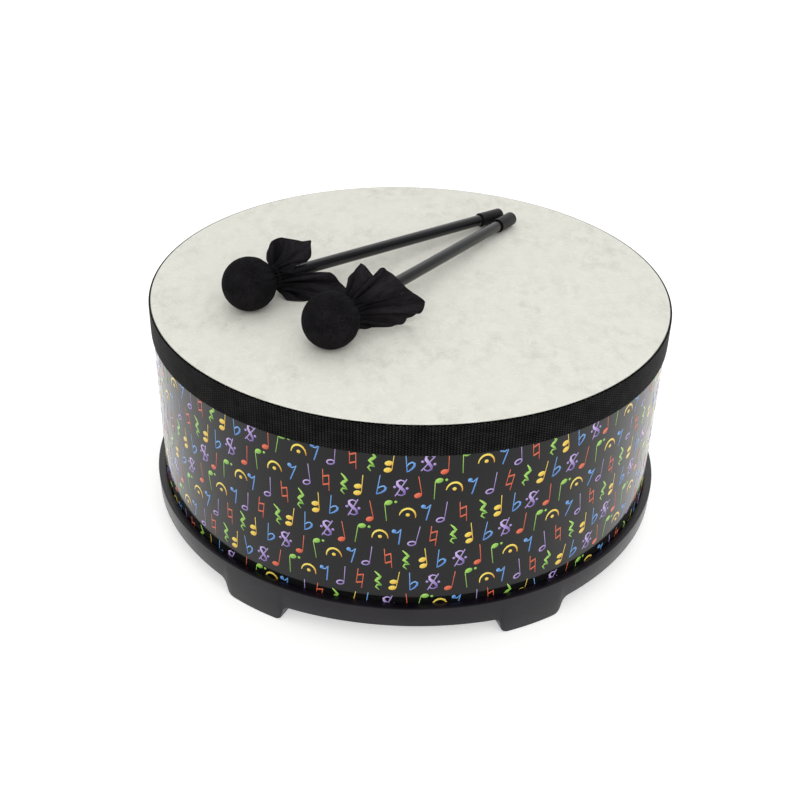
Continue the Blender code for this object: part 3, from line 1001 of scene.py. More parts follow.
class BandRecipe(Recipe):
    """A band round the drum, butted at the back, with a staggered weave on its outer face."""

    RIB_FALL = 0.85  # share of the relief that is lost between columns
    KNOT_FALL = 0.65  # and between threads
    GROUND = 0.25  # and the share that the weave has all over

    def __init__(self) -> None:
        """Sweep a profile round an arc, then raise every other thread."""
        super().__init__(
            "band",
            {
                "Profile": Kind.OBJECT,
                "Radius": Kind.NUMBER,
                "Height": Kind.NUMBER,
                "Seam": Kind.NUMBER,
                "Stations": Kind.COUNT,
                "Profile points": Kind.COUNT,
                "First thread": Kind.COUNT,
                "Threads": Kind.COUNT,
                "Relief": Kind.NUMBER,
            },
        )
        given = self.given
        seam = given["Seam"] / given["Radius"]
        round_drum = {
            "Resolution": given["Stations"],
            "Radius": given["Radius"],
            "Start Angle": seam * 0.5 + math.pi / 2,
            "Sweep Angle": 2 * math.pi - seam,
        }
        arc = self.node("GeometryNodeCurveArc", round_drum, mode="RADIUS")
        sweep = {"Curve": arc, "Profile Curve": self.object_shape("Profile"), "Fill Caps": True}
        band = self.node("GeometryNodeCurveToMesh", sweep)
        index = self.node("GeometryNodeInputIndex")
        station = (index / given["Profile points"]).floor()
        thread = index - station * given["Profile points"] - given["First thread"]
        column, row = (station / 2).floor(), (thread / 2).floor()
        rib = 1 - (station - column * 2) * self.RIB_FALL
        knot = 1 - (thread - row * 2) * self.KNOT_FALL
        woven = (thread > -0.5) * (thread < given["Threads"] - 0.5)
        over = 1 - (column + row) % 2
        raised = woven * rib * (over * knot * (1 - self.GROUND) + self.GROUND)
        # Besides the relief, this share sets the webbing's painted shade in its hollows and painted
        # highlight on its crests.
        stored = {"Geometry": band, "Name": "raised", "Value": raised}
        marked = self.node("GeometryNodeStoreNamedAttribute", stored, data_type="FLOAT", domain="POINT")
        position = self.node("GeometryNodeInputPosition")
        level = self.vector_math("MULTIPLY", position, (1.0, 1.0, 0.0))
        push = {"Vector": self.vector_math("NORMALIZE", level), "Scale": raised * given["Relief"]}
        rise = self.node("ShaderNodeVectorMath", push, operation="SCALE")
        offset = self.vector_math("ADD", rise, self.combine(0.0, 0.0, given["Height"]))
        woven_band = self.node("GeometryNodeSetPosition", {"Geometry": marked, "Offset": offset})
        self.close(self.node("GeometryNodeSetShadeSmooth", {0: woven_band}))

    def band(
        self, name: str, outline: Sequence[Point], finish: Finish, values: Mapping[str, Any]
    ) -> bpy.types.Mesh:
        """Sweep an outline.

        Args:
            name: the mesh's name.
            outline: the section, as outwards and downwards from its middle.
            finish: what the band is finished in.
            values: the tree's other inputs.

        Returns:
            The band's mesh.
        """
        curve = bpy.data.curves.new(name, "CURVE")
        spline = curve.splines.new("POLY")
        spline.points.add(len(outline) - 1)
        for point, (outwards, downwards) in zip(spline.points, outline):
            point.co = (outwards, downwards, 0.0, 1.0)
        spline.use_cyclic_u = True
        profile = new_object(name + "_profile", curve)
        shape = {"Profile": profile, "Profile points": len(outline), "Finish": finish.material()}
        mesh = self.mesh(name, {**shape, **values})
        bpy.data.objects.remove(profile)
        return mesh


@dataclass
class Trim:
    """The woven webbing round the top edge."""

    outer: float = round_radius("webbing")
    foot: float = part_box("webbing")[0].z
    top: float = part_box("webbing")[1].z
    drop: float = 0.00025
    thickness: float = 0.0012
    edge_radius: float = 0.0004
    crown_radius: float = 0.0008
    tuck_radius: float = 0.0002
    seam: float = 0.0002
    columns: int = 600
    rows: int = 25
    relief: float = 0.0003

    def build(self, bands: BandRecipe) -> None:
        """Sweep the webbing with two stations to a column and two threads to a row.

        Args:
            bands: the tree that sweeps it.
        """
        half_wide = (self.top - self.drop - self.foot) / 2
        half_thick = (self.thickness - self.relief / 2) / 2
        corners = [
            (-half_thick, -half_wide, self.tuck_radius),
            (half_thick, -half_wide, self.crown_radius),
            (half_thick, half_wide, self.edge_radius),
            (-half_thick, half_wide, self.edge_radius),
        ]
        steps = 2
        outline = rounded(corners, steps=steps)
        threads = 2 * self.rows
        rows = np.linspace(self.crown_radius - half_wide, half_wide - self.edge_radius, threads)
        # The outer face runs from the second corner's last point to the third corner's first.
        first_thread = 2 * (steps + 1) - 1
        outline[first_thread : first_thread + 2] = [(half_thick, float(row)) for row in rows]
        values = {
            "Radius": self.outer - self.relief / 2 - half_thick,
            "Height": self.foot + half_wide,
            "Seam": self.seam,
            "Stations": 2 * self.columns,
            "First thread": first_thread,
            "Threads": threads,
            "Relief": self.relief,
        }
        mesh = bands.band("webbing_trim", outline, WovenTrim(), values)
        add_piece("webbing_trim", mesh, WovenTrim(), "drum", "webbing")


class Ink(Enum):
    """The print's colours, each with the shade at its lower right."""

    ORANGE = PrintInk(light=srgb(255, 136, 96), dark=srgb(168, 34, 20))
    YELLOW = PrintInk(light=srgb(255, 244, 116), dark=srgb(214, 142, 10))
    LAVENDER = PrintInk(light=srgb(214, 190, 244), dark=srgb(92, 62, 148))
    GREEN = PrintInk(light=srgb(194, 242, 116), dark=srgb(58, 136, 26))
    BLUE = PrintInk(light=srgb(140, 200, 255), dark=srgb(26, 76, 168))


SIGN_UNIT = 0.00108
PRINT_FRONT = 0.00011  # how far the print's front and back lie outside the film
PRINT_BACK = 0.00003
BLOT_LINES = 7
BLOT_END = 0.12  # angle from a blot's end to the nearest of its lines
OVAL_SIDES = 14


def oval_point(centre: Point, radii: Point, angle: float, turn: float) -> Point:
    """A point on a leaning oval.

    Args:
        centre: the oval's middle.
        radii: half its length and half its height.
        angle: the point's angle round it.
        turn: how far the oval leans.

    Returns:
        How far across and how far up the point is.
    """
    x, z = radii[0] * math.cos(angle), radii[1] * math.sin(angle)
    across = x * math.cos(turn) - z * math.sin(turn)
    up = x * math.sin(turn) + z * math.cos(turn)
    return centre[0] + across, centre[1] + up


class Sign:
    """A printed sign, drawn in sign units as thin closed prisms that face -Y."""

    def __init__(self) -> None:
        """Start with nothing drawn."""
        self.vertices: list[Triple] = []
        self.faces: list[list[int]] = []
        self.shades: list[float] = []

    def prism(self, rims: Sequence[tuple[Point, ...]], loop: bool) -> None:
        """Give a strip of cross lines a front, a back and sides.

        Args:
            rims: the two ends of each cross line, in order along the strip.
            loop: whether the strip closes on itself.
        """
        spots = np.array(rims)
        low, high = spots.min(axis=(0, 1)), spots.max(axis=(0, 1))
        base = len(self.vertices)
        for pair in spots:
            for depth in (-PRINT_FRONT, -PRINT_BACK):
                for x, z in pair:
                    self.vertices.append((x * SIGN_UNIT, depth, z * SIGN_UNIT))
                    lean = (z - low[1]) / (high[1] - low[1]) - (x - low[0]) / (high[0] - low[0])
                    self.shades.append(0.5 + 0.5 * lean)
        count = len(rims)
        for step in range(count if loop else count - 1):
            here, there = base + 4 * step, base + 4 * ((step + 1) % count)
            for first, second in ((0, 1), (1, 3), (3, 2), (2, 0)):
                self.faces.append([here + first, here + second, there + second, there + first])
        if not loop:
            self.faces.append([base, base + 2, base + 3, base + 1])
            last = base + 4 * (count - 1)
            self.faces.append([last, last + 1, last + 3, last + 2])

    def stroke(self, path: Sequence[Point], widths: Sequence[float], loop: bool = False) -> "Sign":
        """Draw a pen stroke.

        Args:
            path: the points that it passes.
            widths: its width at each of them.
            loop: whether it closes on itself.

        Returns:
            This sign.
        """
        spots = np.array(path, float)
        if loop:
            ways = np.roll(spots, -1, axis=0) - np.roll(spots, 1, axis=0)
        else:
            ways = np.gradient(spots, axis=0)
        sides = np.stack([-ways[:, 1], ways[:, 0]], axis=1)
        sides *= np.array(widths, float)[:, None] / 2 / np.linalg.norm(sides, axis=1, keepdims=True)
        rims = [(tuple(left), tuple(right)) for left, right in zip(spots + sides, spots - sides)]
        self.prism(rims, loop)
        return self

    def blot(self, centre: Point, radii: Point, turn: float = 0.0) -> "Sign":
        """Draw a filled oval, as a strip of cross lines from one end to the other.

        Args:
            centre: the oval's middle.
            radii: half its length and half its height.
            turn: how far it leans.

        Returns:
            This sign.
        """
        rims = []
        for angle in np.linspace(BLOT_END, math.pi - BLOT_END, BLOT_LINES):
            rims.append(tuple(oval_point(centre, radii, side * angle, turn) for side in (1, -1)))
        self.prism(rims, loop=False)
        return self

    def oval(self, centre: Point, radii: Point, width: float, turn: float = 0.0) -> "Sign":
        """Draw the outline of an oval.

        Args:
            centre: the oval's middle.
            radii: half its length and half its height.
            width: the line's width.
            turn: how far it leans.

        Returns:
            This sign.
        """
        angles = np.linspace(0, 2 * math.pi, OVAL_SIDES, endpoint=False)
        path = [oval_point(centre, radii, angle, turn) for angle in angles]
        return self.stroke(path, [width] * OVAL_SIDES, loop=True)

    def made(self, name: str) -> bpy.types.Object:
        """Make the sign, with its shade stored at each point.

        Args:
            name: the object's name.

        Returns:
            The sign as an object.
        """
        mesh = bpy.data.meshes.new(name)
        mesh.from_pydata(self.vertices, [], self.faces)
        shade = mesh.attributes.new("shade", "FLOAT", "POINT")
        shade.data.foreach_set("value", np.array(self.shades, np.float32))
        shape = bmesh.new()
        shape.from_mesh(mesh)
        bmesh.ops.recalc_face_normals(shape, faces=shape.faces)
        shape.to_mesh(mesh)
        shape.free()
        return new_object(name, mesh)


LOW_HEAD = (-1.5, -6.2)
NOTE_HEAD = (2.6, 1.85)
HEAD_TURN = 0.35  # lean of a note's oval
STEM = [(1.0, -5.6), (1.0, 8.2)]
STEM_WIDTHS = [0.48, 0.48]
DOT = (0.95, 0.95)


def crotchet() -> Sign:
    """A filled note with its stem up."""
    return Sign().blot(LOW_HEAD, NOTE_HEAD, HEAD_TURN).stroke(STEM, STEM_WIDTHS)


def minim() -> Sign:
    """An open note with its stem up."""
    return Sign().oval(LOW_HEAD, (2.5, 1.6), 1.0, HEAD_TURN).stroke(STEM, STEM_WIDTHS)


def chord() -> Sign:
    """Two filled notes on one stem."""
    return crotchet().blot((-1.5, -1.0), NOTE_HEAD, HEAD_TURN)


def dotted_note() -> Sign:
    """A filled note with its stem down and a dot."""
    note = Sign().blot((0.2, 6.2), NOTE_HEAD, HEAD_TURN)
    return note.stroke([(-2.3, 5.6), (-2.3, -8.2)], STEM_WIDTHS).blot((4.8, 6.6), DOT)


def flat_sign() -> Sign:
    """Draw a flat.

    Returns:
        The sign.
    """
    bowl = [(-2.2, -2.2), (-0.6, -0.4), (1.2, 0.3), (2.5, -0.8), (2.2, -2.8), (0.4, -4.9), (-2.2, -6.8)]
    widths = [0.5, 0.9, 1.1, 1.5, 1.5, 1.1, 0.6]
    return Sign().stroke([(-2.4, -7.0), (-2.4, 8.0)], [0.75, 0.5]).stroke(bowl, widths)


def natural_sign() -> Sign:
    """Draw a natural: two posts and two bars.

    Returns:
        The sign.
    """
    sign = Sign()
    for start, end, width in (
        ((-2.0, -4.4), (-2.0, 8.0), 0.5),
        ((2.0, -8.0), (2.0, 4.4), 0.5),
        ((-2.0, -3.9), (2.0, -2.5), 1.1),
        ((-2.0, 2.5), (2.0, 3.9), 1.1),
    ):
        sign.stroke([start, end], [width, width])
    return sign


def long_rest() -> Sign:
    """Draw a crotchet rest.

    Returns:
        The sign.
    """
    path = [(-1.6, 7.8), (0.4, 5.4), (1.8, 3.2), (0.0, 1.4), (-1.4, 0.0)]
    path += [(0.6, -2.2), (2.2, -4.0), (-0.8, -3.6), (-1.9, -5.4), (0.2, -8.0)]
    return Sign().stroke(path, [0.5, 1.4, 2.0, 2.4, 2.0, 1.5, 0.8, 1.4, 1.3, 0.5])


def short_rest() -> Sign:
    """A quaver rest."""
    tail = [(-2.0, 3.2), (0.2, 3.0), (2.6, 5.6), (1.0, -0.6), (-0.6, -6.6)]
    return Sign().blot((-2.0, 4.4), (1.5, 1.5)).stroke(tail, [0.6, 0.9, 0.8, 0.9, 0.8])


def pause_sign() -> Sign:
    """Draw a pause: a bow over a dot.

    Returns:
        The sign.
    """
    angles = np.linspace(math.pi, 0, 11)
    bow = [(5.2 * math.cos(angle), 6.4 * math.sin(angle) - 3.0) for angle in angles]
    widths = [0.5 + 1.0 * math.sin(angle) for angle in angles]
    return Sign().stroke(bow, widths).blot((0.0, -1.6), (1.3, 1.3))


def repeat_sign() -> Sign:
    """Draw a sign to repeat from: a slashed S between two dots.

    Returns:
        The sign.
    """
    bend = [(2.6, 3.9), (1.6, 5.4), (-0.4, 5.9), (-2.4, 4.6), (-2.2, 2.4), (0.0, 0.0)]
    bend += [(2.2, -2.4), (2.4, -4.6), (0.4, -5.9), (-1.6, -5.4), (-2.6, -3.9)]
    sign = Sign().stroke(bend, [0.7, 0.9, 1.0, 1.4, 1.9, 2.2, 1.9, 1.4, 1.0, 0.9, 0.7])
    sign.stroke([(-3.6, -6.6), (3.6, 6.6)], [0.8, 0.8])
    return sign.blot((-3.9, 0.4), DOT).blot((3.9, -0.4), DOT)


SIGNS = {
    Ink.ORANGE: (crotchet, natural_sign),
    Ink.YELLOW: (chord, pause_sign),
    Ink.LAVENDER: (minim, repeat_sign),
    Ink.GREEN: (dotted_note, long_rest),
    Ink.BLUE: (flat_sign, short_rest),
}


class PrintRecipe(Recipe):
    """One ink's two signs, set out on the lattice of the whole print and bent round the film."""

    ACROSS_SKIP = 3  # signs passed over from one column to the next
    UP_SKIP = 4  # and from one row to the next
    FIRST_COLUMN = 0.25  # in columns from the seam
    STAGGER = 0.5  # shift of every other row, in columns

    def __init__(self) -> None:
        """Number the lattice's points, put this ink's signs on its own, and bend them."""
        super().__init__(
            "print",
            {
                "First sign": Kind.OBJECT,
                "Second sign": Kind.OBJECT,
                "Ink": Kind.COUNT,
                "Inks": Kind.COUNT,
                "Columns": Kind.COUNT,
                "Rows": Kind.COUNT,
                "Radius": Kind.NUMBER,
                "First row": Kind.NUMBER,
                "Row step": Kind.NUMBER,
                "Sway": Kind.NUMBER,
                "Tilt": Kind.NUMBER,
                "Seed": Kind.COUNT,
            },
        )
        given = self.given
        index = self.node("GeometryNodeInputIndex")
        row = (index / given["Columns"]).floor()
        column = index - row * given["Columns"]
        number = (column * self.ACROSS_SKIP + row * self.UP_SKIP) % (given["Inks"] * 2)
        pitch = 2 * math.pi * given["Radius"] / given["Columns"]
        stepped = column + self.FIRST_COLUMN + (row % 2) * self.STAGGER
        across = stepped * pitch - math.pi * given["Radius"]
        up = given["First row"] + row * given["Row step"]
        drift = self.chance(0) * given["Sway"]
        place = self.combine(across + drift, 0.0, up + self.chance(1) * given["Sway"])
        lattice = {"Count": given["Columns"] * given["Rows"], "Position": place}
        points = self.node("GeometryNodePoints", lattice)
        lean = self.combine(0.0, self.chance(2) * given["Tilt"], 0.0)
        copies = []
        for label, shift in (("First sign", 0.0), ("Second sign", given["Inks"])):
            chosen = {
                "Points": points,
                "Selection": number.equals(given["Ink"] + shift),
                "Instance": self.object_shape(label),
                "Rotation": lean,
            }
            copies.append(self.node("GeometryNodeInstanceOnPoints", chosen))
        joined = self.node("GeometryNodeJoinGeometry", {"Geometry": copies})
        flat = self.node("GeometryNodeRealizeInstances", {"Geometry": joined})
        axes = self.split(self.node("GeometryNodeInputPosition"))
        turn = axes["X"] / given["Radius"]
        radius = given["Radius"] - axes["Y"]
        bent = self.combine(radius * turn.sine(), radius * turn.cosine() * -1.0, axes["Z"])
        self.close(self.node("GeometryNodeSetPosition", {"Geometry": flat, "Position": bent}))

    def chance(self, stream: int) -> Wire:
        """A fixed random value from -1 to 1 for each point."""
        limits = {"Min": -1.0, "Max": 1.0, "Seed": self.given["Seed"] + stream}
        return self.node("FunctionNodeRandomValue", limits, data_type="FLOAT")


@dataclass
class Wrap:
    """The printed film round the tube."""

    radius: float = round_radius("wrap")
    foot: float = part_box("wrap")[0].z
    top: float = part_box("wrap")[1].z
    thickness: float = 0.0007
    seam: float = 0.0005
    stations: int = 480
    columns: int = 100
    rows: int = 7
    first_row: float = 0.0335
    row_step: float = 0.0206
    sway: float = 0.0011
    tilt: float = 0.2
    seed: int = 7

    def build(self, bands: BandRecipe) -> None:
        """Sweep the film, then print each ink on it.

        Args:
            bands: the tree that sweeps it.
        """
        half_wide = (self.top - self.foot) / 2
        half_thick = self.thickness / 2
        outline = [(x * half_thick, y * half_wide) for x, y in ((-1, -1), (1, -1), (1, 1), (-1, 1))]
        values = {
            "Radius": self.radius - half_thick,
            "Height": self.foot + half_wide,
            "Seam": self.seam,
            "Stations": self.stations,
            "First thread": 0,
            "Threads": 0,
            "Relief": 0.0,
        }
        film = bands.band("film_wrap", outline, GlossFilm(), values)
        film.set_sharp_from_angle(angle=SHARP_ANGLE)
        add_piece("film_wrap", film, GlossFilm(), "drum", "wrap")
        recipe = PrintRecipe()
        for number, (ink, signs) in enumerate(SIGNS.items()):
            self.print_ink(recipe, number, ink, [sign().made(sign.__name__) for sign in signs])

    def print_ink(self, recipe: PrintRecipe, number: int, ink: Ink, signs: list[bpy.types.Object]) -> None:
        """Print one ink.

        Args:
            recipe: the tree that sets out the signs.
            number: the ink's number on the lattice.
            ink: its colour.
            signs: its two signs, which are used up.
        """
        values = {
            "First sign": signs[0],
            "Second sign": signs[1],
            "Ink": number,
            "Inks": len(SIGNS),
            "Columns": self.columns,
            "Rows": self.rows,
            "Radius": self.radius,
            "First row": self.first_row,
            "Row step": self.row_step,
            "Sway": self.sway,
            "Tilt": self.tilt,
            "Seed": self.seed,
            "Finish": ink.value.material(),
        }
        name = f"print_{ink.name.lower()}"
        add_piece(name, recipe.mesh(name, values), ink.value, "drum")
        for sign in signs:
            bpy.data.objects.remove(sign)


@dataclass
class Tube:
    """The wound fibre tube inside the wrap."""

    radius: float = round_radius("shell")
    foot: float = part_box("shell")[0].z
    top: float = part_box("shell")[1].z
    wall: float = 0.006
    bearing_round: float = 0.0015
    bearing_bevel: float = 0.003
    facets: int = 240

    def build(self) -> None:
        """Turn the tube, its bearing edge rounded outside and bevelled inside."""
        inner = self.radius - self.wall
        outline = rounded(
            [
                (self.radius, self.top, self.bearing_round),
                (self.radius, self.foot, 0),
                (inner, self.foot, 0),
                (inner, self.top - self.bearing_bevel, 0),
                (inner + self.bearing_bevel, self.top, 0),
            ]
        )
        add_piece("fibre_tube", lathe("fibre_tube", outline, self.facets), WoundFibre(), "drum", "shell")


@dataclass
class BaseRing:
    """The moulded ring that the tube stands in, with its six feet."""

    radius: float = round_radius("base_ring")
    top: float = 0.0347
    ledge: float = 0.0064
    draft: float = 0.0012
    edge_radius: float = 0.0012
    inner_edge_radius: float = 0.0006
    lip_radius: float = 0.0028
    seat: float = 0.0203
    upstand_outer: float = 0.1958
    upstand_inner: float = 0.1934
    upstand_top: float = 0.0323
    feet: int = 6
    first_foot: float = math.radians(-2)
    sole_width: float = 0.0492
    foot_slope: float = math.radians(14)
    sole_corner: float = 0.006
    shoulder: float = 0.0065
    arch_spring: float = 0.015
    arch_rise: float = 0.002
    foot_wall: float = 0.003
    foot_rib: float = 0.0024
    pocket_roof: float = 0.0145
    pocket_mouth: float = 0.002
    pocket_edge: float = 0.0005
    corner_steps: int = 8
    longest_step: float = 0.0035

    def build(self) -> None:
        """Loft the ring and hollow its feet."""
        columns = [self.column(turn, low) for turn, low in self.lower_edge()]
        ring = skin("moulded_ring", np.swapaxes(np.array(columns), 0, 1), closed=True)
        add_piece("moulded_ring", carved(ring, self.pockets()), SatinMoulding(), "drum", "base_ring")

    def foot_turns(self) -> list[float]:
        """The angle of each foot's middle."""
        return [self.first_foot + 2 * math.pi * foot / self.feet for foot in range(self.feet)]

    def half_edge(self) -> list[Point]:
        """Draw the lower edge from the middle of a sole to the crown of an arch.

        Returns:
            How far round and how high each of its points is.
        """
        crown = math.pi * self.radius / self.feet
        sole = self.sole_width / 2
        spring = sole + self.arch_spring * math.tan(self.foot_slope)
        corners = [
            (0.0, 0.0, 0),
            (sole, 0.0, self.sole_corner),
            (spring, self.arch_spring, self.shoulder),
            (crown, self.arch_spring, 0),
        ]
        edge = rounded(corners, closed=False, steps=self.corner_steps)
        bow_start = edge[-2][0]
        fine = [edge[0]]
        for start, end in zip(edge, edge[1:]):
            steps = max(1, math.ceil((end[0] - start[0]) / self.longest_step))
            for step in range(1, steps + 1):
                fine.append(tuple(Vector(start).lerp(Vector(end), step / steps)))
        bowed = []
        for across, height in fine:
            share = max(0.0, across - bow_start) / (crown - bow_start)
            bowed.append((across, height + self.arch_rise * share * (2 - share)))
        return bowed

    def lower_edge(self) -> list[Point]:
        """Draw the whole lower edge.

        Returns:
            The angle and the height of each of its points.
        """
        half = self.half_edge()
        foot = [(-across, height) for across, height in half[:0:-1]] + half[:-1]
        turns = self.foot_turns()
        return [(turn + across / self.radius, height) for turn in turns for across, height in foot]

    def column(self, turn: float, low: float) -> list[Triple]:
        """Draw the ring's section.

        Args:
            turn: the angle that it is at.
            low: the height that it reaches down to.

        Returns:
            The section's points, as many at every angle.
        """
        socket = self.radius - self.ledge
        lower_radius = self.radius - self.draft * (self.top - low) / self.top
        outline = rounded(
            [
                (self.radius, self.top, self.edge_radius),
                (lower_radius, low, self.edge_radius),
                (self.upstand_inner, low, self.lip_radius),
                (self.upstand_inner, self.upstand_top, self.inner_edge_radius),
                (self.upstand_outer, self.upstand_top, self.inner_edge_radius),
                (self.upstand_outer, self.seat, 0),
                (socket, self.seat, 0),
                (socket, self.top, self.inner_edge_radius),
            ]
        )
        return [(radius * math.cos(turn), radius * math.sin(turn), height) for radius, height in outline]

    def pockets(self) -> bpy.types.Mesh:
        """Form two hollows in each foot, open to the inside and parted by a rib.

        Returns:
            The hollows, as one mesh to cut away.
        """
        inner = self.upstand_inner - self.pocket_mouth
        outer = self.radius - self.draft - self.foot_wall
        roof = self.pocket_roof
        slope = math.tan(self.foot_slope)
        half_width = self.sole_width / 2 - self.foot_wall
        sections = [
            (self.foot_rib / 2, self.foot_wall),
            (half_width + self.foot_wall * slope, self.foot_wall),
            (half_width + roof * slope, roof - self.pocket_edge),
        ]
        vertices: list[Triple] = []
        faces: list[list[int]] = []
        for foot in self.foot_turns():
            for side in (-1, 1):
                base = len(vertices)
                for across, low in sections:
                    turn = foot + side * across / self.radius
                    for radius, height in ((inner, low), (outer, low), (outer, roof), (inner, roof)):
                        vertices.append((radius * math.cos(turn), radius * math.sin(turn), height))
                for here in range(base, len(vertices) - 4, 4):
                    for corner in range(4):
                        ahead = (corner + 1) % 4
                        loop = (corner, ahead, ahead + 4, corner + 4)
                        faces.append([here + spot for spot in loop])
                for end in (base, len(vertices) - 4):
                    faces.append([end + corner for corner in range(4)])
        mesh = bpy.data.meshes.new("pockets")
        mesh.from_pydata(vertices, [], faces)
        return tidy(mesh)


class ScrewRecipe(Recipe):
    """Screws on a circle, each facing the drum's axis."""

    def __init__(self) -> None:
        """Space points round a circle and put a screw on each."""
        sizes = {"Radius": Kind.NUMBER, "Height": Kind.NUMBER, "First": Kind.NUMBER}
        super().__init__("screws", {"Screw": Kind.OBJECT, "Count": Kind.COUNT, **sizes})
        given = self.given
        turn = given["First"] + self.node("GeometryNodeInputIndex") * (2 * math.pi) / given["Count"]
        radius = given["Radius"]
        place = self.combine(turn.cosine() * radius, turn.sine() * radius, given["Height"])
        points = self.node("GeometryNodePoints", {"Count": given["Count"], "Position": place})
        chosen = {
            "Points": points,
            "Instance": self.object_shape("Screw"),
            "Rotation": self.combine(0.0, 0.0, turn),
        }
        self.close(self.node("GeometryNodeInstanceOnPoints", chosen))


@dataclass
class Screws:
    """Pan-head screws through the ring's upstand into the tube, one behind each foot."""

    ring: BaseRing
    shank: float = 0.0015
    head: float = 0.003
    head_height: float = 0.0018
    length: float = 0.0068
    tip: float = 0.0012
    rise: float = 0.0062
    head_gap: float = 0.0003
    recess: float = 0.0036
    recess_width: float = 0.0007
    recess_depth: float = 0.0009
    facets: int = 24

    def screw(self) -> bpy.types.Object:
        """Make one screw with a cross recess.

        Returns:
            The screw, its head towards -X.
        """
        outline = rounded(
            [
                (0.0, self.head_height, 0),
                (self.head, self.head_height, self.head_height / 2),
                (self.head, 0.0, 0),
                (self.shank, 0.0, 0),
                (self.shank, -self.length + self.tip, 0),
                (0.0, -self.length, 0),
            ],
            closed=False,
        )
        mesh = lathe("screw", outline, self.facets, closed=False)
        for long_way in (Vector((1, 0, 0)), Vector((0, 1, 0))):
            shape = bmesh.new()
            sides = long_way * (self.recess - self.recess_width) + Vector((1, 1, 0)) * self.recess_width
            size = Matrix.Diagonal((sides.x, sides.y, 2 * self.recess_depth, 1))
            top = Matrix.Translation((0, 0, self.head_height))
            bmesh.ops.create_cube(shape, size=1.0, matrix=top @ size)
            slot = bpy.data.meshes.new("slot")
            shape.to_mesh(slot)
            shape.free()
            mesh = carved(mesh, slot)
        mesh.transform(Matrix.Rotation(math.radians(-90), 4, "Y"))
        return new_object("screw", mesh)

    def build(self) -> None:
        """Put a screw behind each foot."""
        screw = self.screw()
        values = {
            "Screw": screw,
            "Count": self.ring.feet,
            "Radius": self.ring.upstand_inner - self.head_gap,
            "Height": self.ring.seat + self.rise,
            "First": self.ring.first_foot,
            "Finish": ZincPlate().material(),
        }
        mesh = ScrewRecipe().mesh("ring_screws", values)
        bpy.data.objects.remove(screw)
        nodes = [f"base_screw_{number}" for number in range(1, self.ring.feet + 1)]
        add_piece("ring_screws", mesh, ZincPlate(), "drum", *nodes)


# Mallets


class ThreadRecipe(Recipe):
    """A thread wound round a neck."""

    STEPS = 40  # in each turn
    SIDES = 10  # of the thread's section

    def __init__(self) -> None:
        """Sweep a round section along a spiral."""
        sizes = ("Radius", "Length", "Turns", "Thread radius")
        super().__init__("thread", {label: Kind.NUMBER for label in sizes})
        given = self.given
        turns = {
            "Resolution": self.STEPS,
            "Rotations": given["Turns"],
            "Start Radius": given["Radius"],
            "End Radius": given["Radius"],
            "Height": given["Length"],
        }
        spiral = self.node("GeometryNodeCurveSpiral", turns)
        circle = {"Resolution": self.SIDES, "Radius": given["Thread radius"]}
        section = self.node("GeometryNodeCurvePrimitiveCircle", circle)
        wound = {"Curve": spiral, "Profile Curve": section, "Fill Caps": True}
        tube = self.node("GeometryNodeCurveToMesh", wound)
        self.close(self.node("GeometryNodeSetShadeSmooth", {0: tube}))


# The hems' corners: how far right of the rod, up from it and beyond the neck each is.
REAR_HEM = [
    (0.024, -0.013, 0.050),
    (0.014, -0.001, 0.041),
    (0.0075, 0.0035, 0.010),
    (0.004, 0.008, 0.019),
    (0.0045, 0.0080, 0.0265),
    (0.0032, 0.0098, 0.0310),
    (0.001, 0.012, 0.033),
    (-0.003, 0.0178, 0.0355),
    (-0.004, 0.0200, 0.0363),
    (-0.007, 0.0192, 0.030),
    (-0.016, 0.023, 0.017),
    (-0.019, 0.020, 0.010),
    (-0.020, 0.005, 0.006),
    (-0.014, -0.006, 0.010),
    (-0.024, -0.014, 0.025),
    (0.007, -0.018, 0.006),
    (0.019, -0.018, 0.019),
    (0.031, -0.0165, 0.044),
]
FRONT_HEM = [
    (0.038, 0.003, 0.041),
    (0.025, 0.012, 0.035),
    (0.006, 0.023, 0.033),
    (0.001, 0.017, 0.027),
    (-0.012, 0.023, 0.029),
    (-0.017, 0.012, 0.022),
    (-0.010, 0.000, 0.014),
    (-0.020, -0.013, 0.027),
    (0.003, -0.018, 0.010),
    (0.024, -0.017, 0.033),
    (0.026, -0.012, 0.037),
    (0.035, -0.007, 0.039),
]


